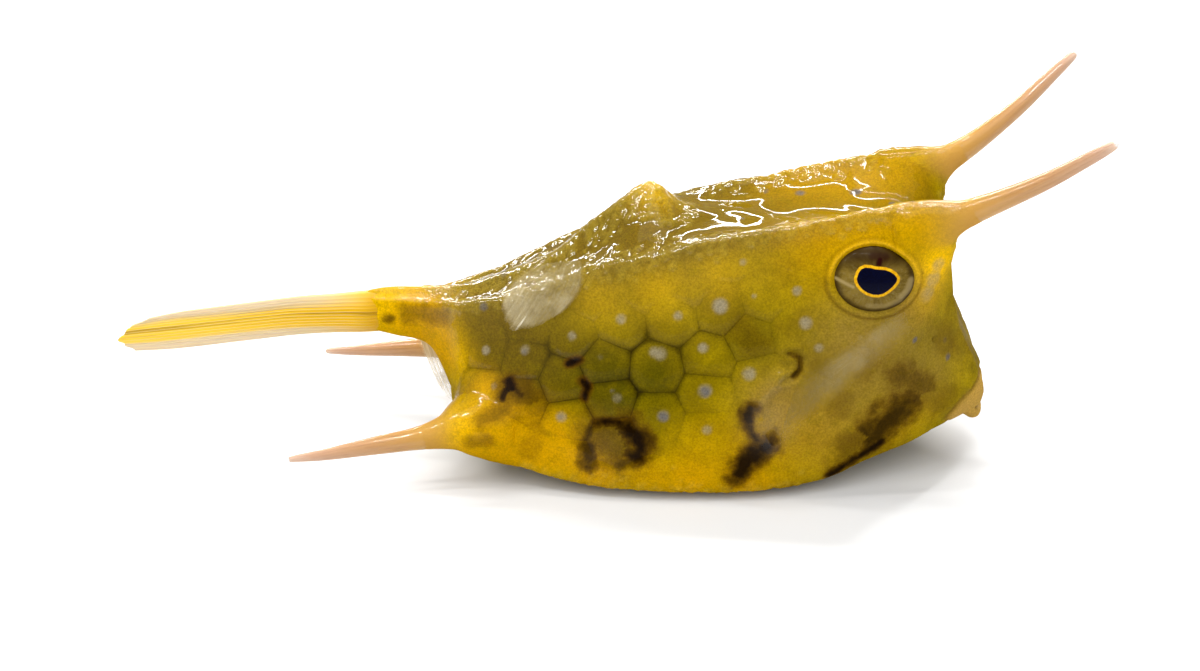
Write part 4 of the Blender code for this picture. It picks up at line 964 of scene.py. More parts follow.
def make_skin(material):
    """The whole skin: head, trunk, tail stalk, lips and the roots of horns and spines."""
    mesh, body_tree, owner = plain_skin()
    points, normals, edges = mesh_points(mesh), mesh_normals(mesh), mesh_edges(mesh)
    whole = bmesh.new()
    whole.from_mesh(mesh)
    skin_tree = BVHTree.FromBMesh(whole)
    whole.free()
    folded = fold_over(points)
    mirror = to_right(points)
    x = points[:, 0] - CARAPACE_AHEAD
    slope = normals[:, 2]
    on_lip = np.isin(owner, LIP_SHELLS)
    on_root = np.isin(owner, HORN_SHELLS + SPINE_SHELLS)

    def patches(marks):
        return patch_mask(folded, skin_tree, marks)

    def from_line(pixels):
        return line_distance(mirror, seen_line(skin_tree, pixels))

    centres, dome, groove, gap = plate_relief(points, body_tree)
    plated = np.clip(0.1 + 1.1 * patches(SEAM_PATCHES), 0.0, 1.0)
    plated *= smooth_step(x, *PLATES_END)
    plated *= 1 - 0.8 * smooth_step(slope, *PLATED_TOP)
    plated *= 1 - 0.9 * smooth_step(-slope, *PLATED_BELLY)
    plated[on_lip | on_root] = 0.0
    plated = relaxed(plated, edges, 12, 0.6)

    eye_place = eye_level(mirror)
    round_eye = np.hypot(eye_place[:, 0] / (EYE_WIDE / 2), eye_place[:, 1] / (EYE_TALL / 2))
    round_eye[np.abs(eye_place[:, 2]) >= EYE_DEPTH_REACH] = FAR_OFF
    away_from_eye = smooth_step(round_eye, *PAST_EYE)
    plated *= away_from_eye
    bead_at, bead_radius = bead_places()
    beads = bead_lift(points, bead_at, bead_radius) * away_from_eye
    back = smooth_step(slope, *RIPPLED_TOP) * smooth_step(x, *BACK_REAR)
    back *= 1 - smooth_step(x, *BACK_FRONT)
    lift = beads - np.sqrt(plated) * (PLATE_SINK * (1 - dome) + GROOVE_DEPTH * groove)
    lift += back * ripples(points)

    rim = bell(round_eye, *EYE_RIM)
    second_lid = bell(round_eye, *SECOND_LID)
    second_lid *= 0.45 + 0.55 * smooth_step(-eye_place[:, 1], *BELOW_EYE)
    lift += rim * EYE_RIM_RISE + bell(round_eye, *EYE_SWELL) * EYE_SWELL_RISE
    lift -= second_lid * LID_DEPTH + (1 - smooth_step(round_eye, *SOCKET_EDGE)) * SOCKET_DEPTH

    from_gill, from_lobe = from_line(GILL_HOOK), from_line(FIN_ROOT_LOBE)
    nostril = np.linalg.norm(mirror - np.array(flank_place(NOSTRIL_X, NOSTRIL_Z)[0]), axis=1)
    lift += GILL_LIP_RISE * bell(from_gill, *GILL_LIP) - GILL_DEPTH * bell(from_gill, GILL_WIDTH)
    lift += LOBE_RISE * bell(from_lobe, LOBE_WIDTH)
    lift -= NOSTRIL_DEPTH * (1 - smooth_step(nostril, *NOSTRIL_EDGE))
    lift += NOSTRIL_RIM_RISE * bell(nostril, *NOSTRIL_RIM)

    level, aside, ahead = (
        (points - np.array(LIP_PLACE)) @ np.array(way) for way in (LIP_UPWARD, LIP_ACROSS, LIP_FORWARD)
    )
    parting = bell(level, PARTING_WIDTH) * smooth_step(ahead, *PARTING_START)
    parting *= 1 - smooth_step(np.abs(aside), *MOUTH_CORNER)
    in_lips = outline_distance(pixels_of(mirror), np.array(LIP_OUTLINE, float))
    in_lips[x < LIPS_START] = FAR_OFF
    lip_crease = bell(in_lips, LIP_CREASE_PIXELS) * smooth_step(points[:, 2], *CREASE_LEVEL)
    lift -= LIP_CREASE_DEPTH * lip_crease
    lip_share = np.maximum(smooth_step(-in_lips, *LIP_EDGE_PIXELS), on_lip)
    lip_share = relaxed(lip_share, edges, 4, 0.6)
    points = points + normals * lift[:, None]
    points -= np.array(LIP_FORWARD) * (PARTING_DEPTH * parting)[:, None]
    points[:, 2] = np.maximum(points[:, 2], 0.0)
    set_points(mesh, points)

    root_reach = np.maximum(
        np.isin(owner, HORN_SHELLS) * smooth_step(x, *HORN_ROOT_PALE),
        np.isin(owner, SPINE_SHELLS) * smooth_step(-x, *SPINE_ROOT_PALE),
    )
    upright = smooth_step(slope, *UPRIGHT)
    wet = np.maximum(np.maximum(patches(WET), upright), 0.8 * bell(from_lobe, WET_LOBE_WIDTH))
    wet *= 1 - 0.7 * smooth_step(x, *DRIER_FOREHEAD)
    glitter = bell(from_line(RIDGE_GLITTER), GLITTER_WIDTH)
    crackle = np.clip(patches(CRACKLE) + glitter, 0.0, 1.0)
    face = smooth_step(x, *FACE_START) * (1 - smooth_step(points[:, 2], *FACE_TOP))
    yellow_rim = rim * smooth_step(eye_place[:, 1], *YELLOW_RIM)
    keep_attribute(mesh, "tint", patches(OLIVE), patches(AMBER), patches(YELLOW_AND_LIT_WALL))
    # The third number is painted shade in the mouth's parting and in the lip crease.
    keep_attribute(
        mesh, "spots", spot_mask(folded, skin_tree, PALE_SPOTS_AND_FACE_HIGHLIGHT),
        spot_mask(folded, skin_tree, BLUE_SPOTS), np.maximum(parting, 0.6 * lip_crease),
    )
    # The third number is painted shade in the crease of the lower lid.
    keep_attribute(mesh, "dark", *blotch_mask(folded, skin_tree, BLOTCHES_AND_SHADE), second_lid)
    keep_attribute(mesh, "places", patches(TAN_AND_FACE_HIGHLIGHT), lip_share, relaxed(root_reach, edges, 24, 0.7))
    keep_attribute(mesh, "relief", plated, np.clip(beads / (0.1 * MM), 0, 1), yellow_rim)
    # The third number is painted shade in the sunken gap round the seen plates.
    keep_attribute(mesh, "wet", np.maximum(wet, glitter), crackle, gap * plated)
    # upright: share of painted shade that darkens up-facing skin, less on the roots of horns and spines
    keep_attribute(mesh, "upright", upright * (1 - 0.7 * on_root))
    keep_attribute(mesh, "face", face)
    keep_seams(mesh, points, centres)
    print("skin triangles", sum(len(face.vertices) - 2 for face in mesh.polygons))
    add_piece("skin", mesh, material, "wet_hide", "head", "trunk", "tail_stalk", "lip_upper", "lip_lower")
    return body_tree


class Value:
    """What a node gives out; arithmetic on it adds the nodes that work it out."""

    def __init__(self, socket):
        self.socket, self.tree = socket, socket.id_data

    def maths(self, operation, other=0.0):
        made = put(self.tree, "ShaderNodeMath", {0: self, 1: other}, operation=operation)
        return Value(made.outputs[0])

    def __add__(self, other):
        return self.maths("ADD", other)

    def __sub__(self, other):
        return self.maths("SUBTRACT", other)

    def __mul__(self, other):
        return self.maths("MULTIPLY", other)

    def __abs__(self):
        return self.maths("ABSOLUTE")

    def ramp(self, low, high, to_low=0.0, to_high=1.0):
        """Smooth step from one number to another between a low and a high value."""
        inputs = {0: self, 1: low, 2: high, 3: to_low, 4: to_high}
        made = put(self.tree, "ShaderNodeMapRange", inputs, interpolation_type="SMOOTHSTEP")
        return Value(made.outputs[0])

    def noise(self, scale, detail=3.0, roughness=0.5):
        """Noise at the place that this value gives."""
        inputs = {"Vector": self, "Scale": scale, "Detail": detail, "Roughness": roughness}
        return Value(put(self.tree, "ShaderNodeTexNoise", inputs).outputs["Fac"])


def feed(entry, value):
    """Give a node's input a number, a colour or another node's value."""
    if isinstance(value, Value):
        value.tree.links.new(value.socket, entry)
    else:
        entry.default_value = value


def put(tree, kind, inputs=(), **settings):
    """Add one node."""
    made = tree.nodes.new(kind)
    for key, value in settings.items():
        setattr(made, key, value)
    for key, value in dict(inputs).items():
        feed(made.inputs[key], value)
    return made


def tinted(tree, colour, *layers, kind="MIX"):
    """A colour with others laid over it, each given as (share, colour)."""
    for share, over in layers:
        first, second = (item if isinstance(item, Value) else (*item, 1.0) for item in (colour, over))
        inputs = {0: share, 6: first, 7: second}
        made = put(tree, "ShaderNodeMix", inputs, data_type="RGBA", blend_type=kind)
        colour = Value(made.outputs[2])
    return colour


def stored(tree, name, output="Fac"):
    """A number that the mesh stores, or its three numbers as a vector."""
    return Value(put(tree, "ShaderNodeAttribute", attribute_name=name).outputs[output])


def parts_of(tree, name):
    """The three numbers of a stored attribute."""
    made = put(tree, "ShaderNodeSeparateXYZ", {0: stored(tree, name, "Vector")})
    return [Value(socket) for socket in made.outputs]


def object_place(tree):
    """Where a point of the piece is."""
    return Value(put(tree, "ShaderNodeTexCoord").outputs["Object"])


def new_material(name, **sockets):
    """A material with its tree and its shader, whose inputs take the given numbers."""
    material = bpy.data.materials.new(name)
    material.use_nodes = True
    shader = material.node_tree.nodes["Principled BSDF"]
    for key, value in sockets.items():
        feed(shader.inputs[key.replace("_", " ")], value)
    return material, material.node_tree, shader


def dress(shader, height, strength, distance, **values):
    """Give a shader its values and a bump from a height."""
    inputs = {"Height": height, "Strength": strength, "Distance": distance}
    made = put(shader.id_data, "ShaderNodeBump", inputs)
    feed(shader.inputs["Normal"], Value(made.outputs["Normal"]))
    for key, value in values.items():
        feed(shader.inputs[key.replace("_", " ")], value)


def pebble_group():
    """Fine pebbled grain of wet hide: a height, from a place and a fineness."""
    group = bpy.data.node_groups.new("pebble_grain", "ShaderNodeTree")
    for name, way, kind in (
        ("Place", "INPUT", "Vector"), ("Fineness", "INPUT", "Float"), ("Height", "OUTPUT", "Float"),
    ):
        group.interface.new_socket(name, in_out=way, socket_type="NodeSocket" + kind)
    start = group.nodes.new("NodeGroupInput")
    place, fineness = Value(start.outputs["Place"]), Value(start.outputs["Fineness"])
    cells = put(group, "ShaderNodeTexVoronoi", {"Vector": place, "Scale": fineness})
    pebble = Value(cells.outputs["Distance"]).ramp(0.0, 0.7, 1.0, 0.0)
    height = pebble * 0.6 + place.noise(fineness * 0.22, 4.0, 0.6) * 0.8
    feed(group.nodes.new("NodeGroupOutput").inputs["Height"], height)
    return group


def grain_of(group, place, fineness):
    """Height of the pebbled grain at a place."""
    inputs = {"Place": place, "Fineness": fineness}
    return Value(put(place.tree, "ShaderNodeGroup", inputs, node_tree=group).outputs["Height"])


MUSTARD, DEEP_MUSTARD = paint(165, 140, 3), paint(124, 105, 2)
DARK_OLIVE, AMBER_HIDE = paint(78, 72, 1), paint(193, 144, 1)
# Sun yellow also paints light on the far wall; tan hide also paints a highlight on the face's edge.
BRIGHT_YELLOW_AND_LIGHT, TAN_HIDE_AND_HIGHLIGHT = paint(240, 186, 5), paint(140, 115, 48)
# Seam dark also paints shade at the plates' edges and in gaps; the pale spot colour also paints a
# highlight.
SEAM_DARK_AND_SHADE, PALE_SPOT_AND_HIGHLIGHT_TONE, BLUE_SPOT = paint(34, 26, 2), paint(146, 136, 112), paint(92, 90, 92)
# Blotch dark also paints shadow where plates meet and shade in the gill opening.
BLOTCH_AND_SHADE_DARK, LIP_TAN, HORN_ROOT = paint(18, 7, 4), paint(182, 144, 66), paint(192, 144, 70)
# Edge brown also paints shade in the lid crease, the lip crease and the mouth's parting.
RIM_YELLOW, BEAD_PALE, EDGE_BROWN_AND_CREASE_SHADE = paint(230, 178, 34), paint(190, 165, 60), paint(88, 58, 5)
# The first colour of this row is painted shade for up-facing skin; the last is painted white glints on the
# fins.
PAINTED_TOP_SHADE, FACE_BROWN, PAINTED_GLINT_WHITE = paint(100, 78, 10), paint(98, 74, 12), paint(244, 238, 222)


def hide_material(pebbles):
    """Wet mustard hide with olive plates, pale and blue spots and dark blotches, with painted shade in
    creases, gaps and on up-facing skin, and painted light on the face and far wall.
    """
    material, tree, shader = new_material(
        "wet_hide", Roughness=0.5, Specular_IOR_Level=0.0, Coat_Roughness=0.05,
        Subsurface_Weight=0.1, Subsurface_Scale=0.0012, Subsurface_Radius=(1.0, 0.6, 0.2),
    )
    place = object_place(tree)
    # The third tint holds bright yellow and painted light on the far wall of the back.
    olive, amber, yellow_and_lit_wall = parts_of(tree, "tint")
    pale, blue, parting = parts_of(tree, "spots")
    blotch, strength, lid_crease_shade = parts_of(tree, "dark")
    # tan holds tan hide and a painted highlight on the face's front edge.
    tan, lip, pale_root = parts_of(tree, "places")
    plated, bead, rim = parts_of(tree, "relief")
    wet, crackle, gap = parts_of(tree, "wet")
    uneven = place.noise(1100.0, 5.0, 0.65)
    clouds = place.noise(170.0, 5.0, 0.65).ramp(0.42, 0.68)
    clouds = clouds * stored(tree, "face").ramp(0.0, 1.0, 0.1, 0.42)
    seam = abs(stored(tree, "seam"))
    seam_line = seam.ramp(0.02, 0.12, 1.0, 0.0)
    # The thin line is the seam's own dark; the broad fall within 0.6 mm of it is painted shade at the
    # plates' domed edges.
    seam_and_edge_shade = seam_line.maths("MAXIMUM", seam.ramp(0.0, 0.6, 0.55, 0.0)) * plated.ramp(0.1, 1.0)
    wobble = (uneven - 0.5) * 1.2
    # The pale share holds pale spots and a painted highlight on the face's front edge.
    pale_spot_and_highlight, blue_share = ((spot + wobble * spot).ramp(0.05, 1.0) * 0.85 for spot in (pale, blue))
    ragged = blotch + ((place.noise(520.0) - 0.5) * 1.3 + wobble * 0.2)
    near_mark = blotch.ramp(0.0, 0.25)
    halo = ragged.ramp(0.0, 0.7) * (strength * 0.85)
    core = ragged.ramp(0.3, 0.95) * strength.ramp(0.3, 1.0, 0.05, 0.95)
    colour = tinted(
        tree, MUSTARD, (place.noise(300.0, 4.0, 0.6).ramp(0.3, 0.7), DEEP_MUSTARD),
        # Painted shade: up-facing skin is darkened by its upward slope.
        (olive, DARK_OLIVE), (tan, TAN_HIDE_AND_HIGHLIGHT), (stored(tree, "upright") * 0.85, PAINTED_TOP_SHADE),
        (clouds, FACE_BROWN), (amber, AMBER_HIDE), (yellow_and_lit_wall, BRIGHT_YELLOW_AND_LIGHT),
        (uneven.ramp(0.45, 0.75, 0.0, 0.4), DEEP_MUSTARD), (seam_and_edge_shade * 0.7, SEAM_DARK_AND_SHADE),
        # Painted shade in the sunken gap round the seen plates.
        (gap * 0.8, SEAM_DARK_AND_SHADE), (bead * 0.2, BEAD_PALE), (rim * 0.65, RIM_YELLOW),
        # Painted shade in the lid's crease.
        (lid_crease_shade * 0.5, EDGE_BROWN_AND_CREASE_SHADE), (pale_spot_and_highlight, PALE_SPOT_AND_HIGHLIGHT_TONE), (blue_share, BLUE_SPOT), (lip, LIP_TAN),
        # parting: painted shade in the mouth's parting and the lip crease.
        (halo * near_mark, EDGE_BROWN_AND_CREASE_SHADE), (core * near_mark, BLOTCH_AND_SHADE_DARK), (parting * 0.8, EDGE_BROWN_AND_CREASE_SHADE),
    )
    speckle = place.noise(5200.0, 3.0, 0.7).ramp(0.3, 0.7, 0.78, 1.2)
    grey = put(tree, "ShaderNodeCombineXYZ", {0: speckle, 1: speckle, 2: speckle})
    colour = tinted(tree, colour, (1.0, Value(grey.outputs[0])), kind="MULTIPLY")
    colour = tinted(tree, colour, (pale_root, HORN_ROOT))
    height = grain_of(pebbles, place, 3600.0) * 0.5 - seam_line * plated
    rough_water = crackle * (place.noise(1900.0, 3.0, 0.6) * 8.0)
    water = wet.ramp(0.0, 1.0, 0.04, 0.5) + crackle * 0.4
    dress(shader, height + rough_water, 0.35, 0.00012, Base_Color=colour, Coat_Weight=water)
    return material


def horn_material(pebbles):
    """Smooth pale horn, tan at its root and whitish at its tip."""
    material, tree, shader = new_material(
        "pale_horn", Roughness=0.4, Specular_IOR_Level=0.0, Coat_Weight=1.0, Coat_Roughness=0.06,
        Subsurface_Weight=0.2, Subsurface_Scale=0.001, Subsurface_Radius=(1.0, 0.7, 0.4),
    )
    reach = stored(tree, "reach")
    fibres = stored(tree, "strand", "Vector").noise(1.0, 4.0, 0.65)
    ramp = put(tree, "ShaderNodeValToRGB", {0: reach})
    stops = (
        (0.0, HORN_ROOT), (0.25, paint(188, 142, 92)), (0.6, paint(196, 156, 126)),
        (0.86, paint(222, 194, 172)), (0.95, paint(248, 242, 236)),
    )
    for k, (at, colour) in enumerate(stops):
        stop = ramp.color_ramp.elements[k] if k < 2 else ramp.color_ramp.elements.new(at)
        stop.position = at
        stop.color = (*colour, 1.0)
    marbled = fibres.ramp(0.45, 0.75, 0.0, 0.6) * reach.ramp(0.0, 0.25)
    colour = tinted(tree, Value(ramp.outputs[0]), (marbled, paint(150, 102, 76)))
    height = fibres * 0.8 + grain_of(pebbles, object_place(tree), 5200.0) * 0.2
    dress(shader, height, 0.25, 0.0001, Base_Color=colour)
    return material


def fin_values(tree):
    """Share outward, share of a ray, share across and strands that a fin stores."""
    strands = stored(tree, "strand", "Vector").noise(1.0, 4.0, 0.7)
    return stored(tree, "reach"), stored(tree, "ray"), stored(tree, "beside"), strands


def fin_material(pebbles, name, root, edge, cover_root, cover_edge, ray_share, clear_from, glints):
    """Thin wet fin skin: fine rays in a patchy film that clears towards its edges, with painted white
    glints.
    """
    material, tree, shader = new_material(
        name, Roughness=0.4, Specular_IOR_Level=0.0, Coat_Roughness=0.05,
    )
    place = object_place(tree)
    reach, ray, beside, strands = fin_values(tree)
    thin_ray = ray.ramp(0.6, 1.0) * ray_share
    # Painted highlights: white glints laid into the film's colour and cover.
    painted_glint = strands.ramp(0.6, 0.72) * glints
    colour = tinted(
        tree, root, (reach.ramp(0.0, 0.8), edge), (strands.ramp(0.4, 0.75, 0.0, 0.4), root),
        (thin_ray, paint(222, 210, 176)), (painted_glint, PAINTED_GLINT_WHITE),
    )
    cover = reach.ramp(0.05, 0.5, cover_root, cover_edge) + thin_ray * 0.4
    cover = cover * strands.ramp(0.3, 0.7, 0.7, 1.25) + painted_glint * 0.5
    beside_clear = abs(beside - 0.5).ramp(clear_from, 0.5, 1.0, 0.1)
    cover = cover * (beside_clear * reach.ramp(0.5 + clear_from, 1.0, 1.0, 0.25))
    cover = cover * place.noise(420.0).ramp(0.35, 0.65, 0.55, 1.4)
    height = strands * 0.3 + grain_of(pebbles, place, 4200.0) * 0.2
    dress(
        shader, height, 0.3, 0.0001, Base_Color=colour, Alpha=cover.maths("MINIMUM", 1.0),
        Coat_Weight=cover * 2.0,
    )
    return material


def tail_material(pebbles):
    """Tail fin: golden core with a dark streak, pale rays and translucent tan edges."""
    material, tree, shader = new_material(
        "tail_film", Roughness=0.4, Specular_IOR_Level=0.0, Coat_Weight=0.4, Coat_Roughness=0.05,
        Subsurface_Weight=0.1, Subsurface_Scale=0.0008,
    )
    reach, ray, beside, strands = fin_values(tree)
    wander = abs(beside - 0.5) + strands.ramp(0.2, 0.8, -0.1, 0.1)
    edge = wander.ramp(0.18, 0.36) * reach.ramp(0.04, 0.36)
    streak = abs(beside - 0.44).ramp(0.02, 0.12, 1.0, 0.0) * strands.ramp(0.4, 0.65, 0.1, 0.8)
    thin_ray = ray.ramp(0.5, 1.0) * reach.ramp(0.05, 0.2, 0.0, 0.4)
    colour = tinted(
        tree, paint(226, 174, 20), (reach.ramp(0.1, 0.8), paint(246, 202, 60)),
        (reach.ramp(0.0, 0.16, 0.9, 0.0), paint(190, 140, 4)), (edge, paint(224, 198, 152)),
        (streak, paint(140, 104, 4)), (thin_ray, paint(250, 220, 140)),
        (strands.ramp(0.5, 0.75, 0.0, 0.5), paint(176, 124, 8)),
    )
    clear = edge * reach.ramp(0.1, 0.5, 0.0, 0.3)
    height = strands * 0.8 + grain_of(pebbles, object_place(tree), 4200.0) * 0.2
    dress(shader, height, 0.3, 0.0001, Base_Color=colour, Alpha=clear * -1.0 + 1.0)
    return material


def eye_material():
    """Dark eye: navy pupil, thin gold ring and a streaked brown iris."""
    material, tree, shader = new_material(
        "eye_surface", Roughness=0.4, Specular_IOR_Level=0.05, Coat_Weight=0.05, Coat_Roughness=0.02,
    )
    to_pupil = stored(tree, "pupil")
    streak = stored(tree, "streak", "Vector")
    red, pale, shade = parts_of(tree, "eye_marks")
    fibres = streak.noise(3.2, 6.0, 0.7)
    fine = streak.noise(9.0, 5.0, 0.75)
    gold = tinted(tree, paint(238, 184, 30), (fine.ramp(0.35, 0.6), paint(206, 148, 16)))
    deep = tinted(tree, paint(1, 2, 26), (fine.ramp(0.4, 0.7), paint(6, 12, 40)))
    colour = tinted(
        tree, paint(126, 104, 44), (fibres.ramp(0.35, 0.7), paint(92, 74, 24)),
        (fine.ramp(0.45, 0.7, 0.0, 0.5), paint(140, 122, 74)), (shade, paint(48, 32, 2)),
        # pale: a pale mark and a painted reflection of the cornea's edge.
        (pale, paint(160, 140, 90)), (red, paint(40, 8, 2)),
        (to_pupil.ramp(0.24, 0.33, 1.0, 0.0), gold), (to_pupil.ramp(0.0, 0.06, 1.0, 0.0), deep),
    )
    dress(shader, fibres, 0.15, 0.00008, Base_Color=colour)
    return material


def outline_distance(points, outline):
    """Signed distance to a closed outline in the plane, negative inside."""
    closed = np.vstack((outline, outline[:1]))
    distance = np.full(len(points), np.inf)
    inside = np.zeros(len(points), bool)
    for first, second in zip(closed, closed[1:]):
        run = second - first
        distance = np.minimum(distance, piece_distance(points, first, second))
        crosses = (first[1] > points[:, 1]) != (second[1] > points[:, 1])
        level = first[0] + (points[:, 1] - first[1]) * run[0] / (run[1] if run[1] else 1e-12)
        inside ^= crosses & (points[:, 0] < level)
    return np.where(inside, -distance, distance)


def make_eyes(material):
    """Both eyes, set in the sides of the head."""
    point, normal, turn = eye_frame()
    bm = bmesh.new()
    bmesh.ops.create_uvsphere(bm, u_segments=160, v_segments=110, radius=1.0)
    radii = (EYE_WIDE / 2, EYE_TALL / 2, EYE_DEEP / 2, 1.0)
    bm.transform(Matrix.Translation(point - normal * EYE_SUNK) @ turn @ Matrix.Diagonal(radii))
    tree = BVHTree.FromBMesh(bm)
    mesh = to_mesh(bm, "eye_right")
    local = eye_level(mesh_points(mesh))[:, :2]

    def seen(pixels):
        return eye_level(np.array([seen_at(tree, pixel)[0] for pixel in pixels]))[:, :2]

    def near_line(share, radius, pixels):
        away = line_distance(local, seen(pixels))
        return share * (1 - smooth_step(away, 0.4 * radius * MM, 1.5 * radius * MM))

    outline = seen(PUPIL_OUTLINE)
    to_pupil = outline_distance(local, outline)
    spoke = local - outline.mean(axis=0)
    spoke /= np.maximum(np.linalg.norm(spoke, axis=1), 1e-9)[:, None]
    keep_attribute(mesh, "pupil", to_pupil / MM)
    keep_attribute(mesh, "streak", spoke, to_pupil / MM * 0.25)
    red, pale = (
        np.max([near_line(*mark) for mark in marks], axis=0) for marks in (EYE_RED, EYE_PALE_AND_REFLECTION)
    )
    across_eye = np.hypot(local[:, 0] / (EYE_WIDE / 2), local[:, 1] / (EYE_TALL / 2))
    upper = 0.9 * smooth_step(local[:, 1], 0.3 * MM, 2.2 * MM)
    shade = np.maximum(upper, 0.8 * smooth_step(across_eye, 0.76, 0.92))
    keep_attribute(mesh, "eye_marks", red, pale, shade)
    right = add_piece("eye_right_dressed", mesh, material, "eye_surface", "eye_right")
    mirrored(right, "eye_left_dressed", "eye_surface", "eye_left")


def make_rods(material):
    """The free lengths of the brow horns and belly spines, starting inside their roots."""
    for word, line, cut in (("brow_horn", HORN_LINE, HORN_CUT), ("belly_spine", SPINE_LINE, SPINE_CUT)):
        last = len(line) - 1
        free = cut * last
        start = free - ROOT_INSIDE
        path, frames, radii = rod_path(line, start, last, ROD_RINGS)
        knot = np.linspace(start, last, ROD_RINGS)
        radii = radii + ROD_SWELL - ROD_TAPER * (1 - smooth_step(knot, start, free + 0.1))
        bm = bmesh.new()
        sweep(bm, path, frames, radii, ROD_SIDES)
        mesh = to_mesh(bm, word)
        points = mesh_points(mesh)
        step = np.argmin(np.linalg.norm(points[:, None] - np.array(path)[None], axis=2), axis=1)
        reach = np.clip((knot[step] - free) / (last - free), 0.0, 1.0)
        turns = np.array([turn.to_3x3() for turn in frames])
        spoke = np.einsum("nij,ni->nj", turns[step], points - np.array(path)[step])
        angle = np.arctan2(spoke[:, 1], spoke[:, 0])
        keep_attribute(mesh, "reach", reach)
        keep_attribute(mesh, "strand", 3.0 * np.cos(angle), 3.0 * np.sin(angle), 4.0 * reach)
        right = add_piece(word + "_right_dressed", mesh, material, "pale_horn", word + "_right")
        mirrored(right, word + "_left_dressed", "pale_horn", word + "_left")


# Root, bend and edge lines of the folded fins by pixel, and their lift above the skin at the
# root with what is added at the edge
DORSAL_LINES = (
    ((583, 262), (562, 263), (541, 266)), ((594, 290), (553, 288), (513, 274)),
    ((560, 316), (540, 327), (522, 332), (507, 325), (503, 303)),
)
PECTORAL_LINES = (
    ((800, 374), (788, 408), (778, 444)), ((850, 344), (850, 362), (842, 394)),
    ((899, 308), (908, 314), (913, 332)),
)
DORSAL_LIFTS, PECTORAL_LIFTS = (0.18 * MM, 0.36 * MM), (0.24 * MM, 0.0)
FIN_HALF, FIN_KNOTS, FRAY_SEED = 0.07 * MM, 9, 1
TAIL_START_X = -31.6 * MM
TAIL_FIN_END_X = -60.0 * MM
TAIL_FIN_LEVEL = ((0.0, 14.15), (0.35, 13.5), (0.7, 12.3), (1.0, 11.4))
TAIL_FIN_HEIGHT = ((0.0, 4.2), (0.08, 4.5), (0.18, 4.15), (0.5, 4.2), (0.85, 4.2), (1.0, 3.6))
TAIL_FIN_FLESH = ((0.0, 1.3), (0.1, 1.3), (0.18, 0.95), (0.4, 0.5), (1.0, 0.2))
TAIL_FIN_ROUNDING, TAIL_FIN_UNDERCUT, TAIL_FIN_SWAY = 0.13, 0.07, 0.3 * MM
ANAL_BASE_X, ANAL_TIP_X = (-26.6, -29.9), (-25.0, -27.6)
ANAL_TIP_Z, ANAL_TIP_BULGE, ANAL_BEND, ANAL_BASE_RISE = 3.9 * MM, 1.2 * MM, 0.2 * MM, 0.4 * MM


def between(ends, share):
    """Value part of the way from the first of two ends to the second."""
    return ends[0] + (ends[1] - ends[0]) * share


def spread_grid(place, across, outward):
    """Read a slow place function on few knots and spread it smoothly over a fine grid."""
    knots = np.linspace(0.0, 1.0, FIN_KNOTS)
    rough = np.array([[np.concatenate(place(a, o)) for o in knots] for a in knots])
    fine = spline(knots, rough, across)
    fine = np.swapaxes(spline(knots, np.swapaxes(fine, 0, 1), outward), 0, 1)
    return fine[:, :, :3], fine[:, :, 3:]


def make_fin(name, place, half_thick, rays, columns, rows, material, node, edge_cut):
    """A fin of two faces over a grid, with fine rays and a slightly uneven free edge."""
    across_at = np.linspace(0.0, 1.0, columns + 1)
    outward_at = np.linspace(0.0, 1.0, rows + 1)
    points, normals = spread_grid(place, across_at, outward_at)
    normals /= np.linalg.norm(normals, axis=2)[:, :, None]
    draw = random.Random(FRAY_SEED)
    notches = np.array([draw.uniform(0.0, edge_cut) for _ in range(rays + 1)])
    fray = spline(np.linspace(0.0, 1.0, rays + 1), notches, across_at)
    bm = bmesh.new()
    bmesh.ops.create_grid(bm, x_segments=columns, y_segments=rows, size=0.5)
    column_of, row_of, side_of = (bm.verts.layers.int.new(word) for word in ("column", "row", "side"))
    for vert in bm.verts:
        vert[column_of] = round((vert.co.x + 0.5) * columns)
        vert[row_of] = round((vert.co.y + 0.5) * rows)
        vert[side_of] = -1
    copied = bmesh.ops.extrude_face_region(bm, geom=bm.faces[:], use_keep_orig=True)
    for item in copied["geom"]:
        if isinstance(item, bmesh.types.BMVert):
            item[side_of] = 1
    kept = []
    for vert in bm.verts:
        column, row = vert[column_of], vert[row_of]
        across, outward = across_at[column], outward_at[row]
        at = outward * (1 - fray[column] * outward**3) * rows
        low = min(int(at), rows - 1)
        on_ray = 0.5 + 0.5 * math.cos(2 * math.pi * rays * across)
        thick = half_thick(across, outward, on_ray)
        point = between(points[column, low:low + 2], at - low)
        vert.co = point + normals[column, row] * thick * vert[side_of]
        kept.append((outward, on_ray, across, across * rays * 1.6, outward * 1.5, 0.0))
    bmesh.ops.recalc_face_normals(bm, faces=bm.faces)
    mesh = to_mesh(bm, name)
    kept = np.array(kept)
    for k, word in enumerate(("reach", "ray", "beside")):
        keep_attribute(mesh, word, kept[:, k])
    keep_attribute(mesh, "strand", kept[:, 3:])
    return add_piece(name, mesh, material, "fin_membrane", node)


def bent_pixel(lines, across, outward):
    """Pixel of a fin drawn by its root, bend and edge lines."""
    start, middle, end = (
        spline(np.linspace(0.0, 1.0, len(line)), line, np.array([across]))[0] for line in lines
    )
    return (1 - outward) ** 2 * start + 2 * outward * (1 - outward) * middle + outward**2 * end


def film(across, outward, on_ray):
    """Half thickness of a thin fin."""
    return 0.045 * MM + 0.006 * MM * on_ray * min(1.0, 5 * (1 - outward))


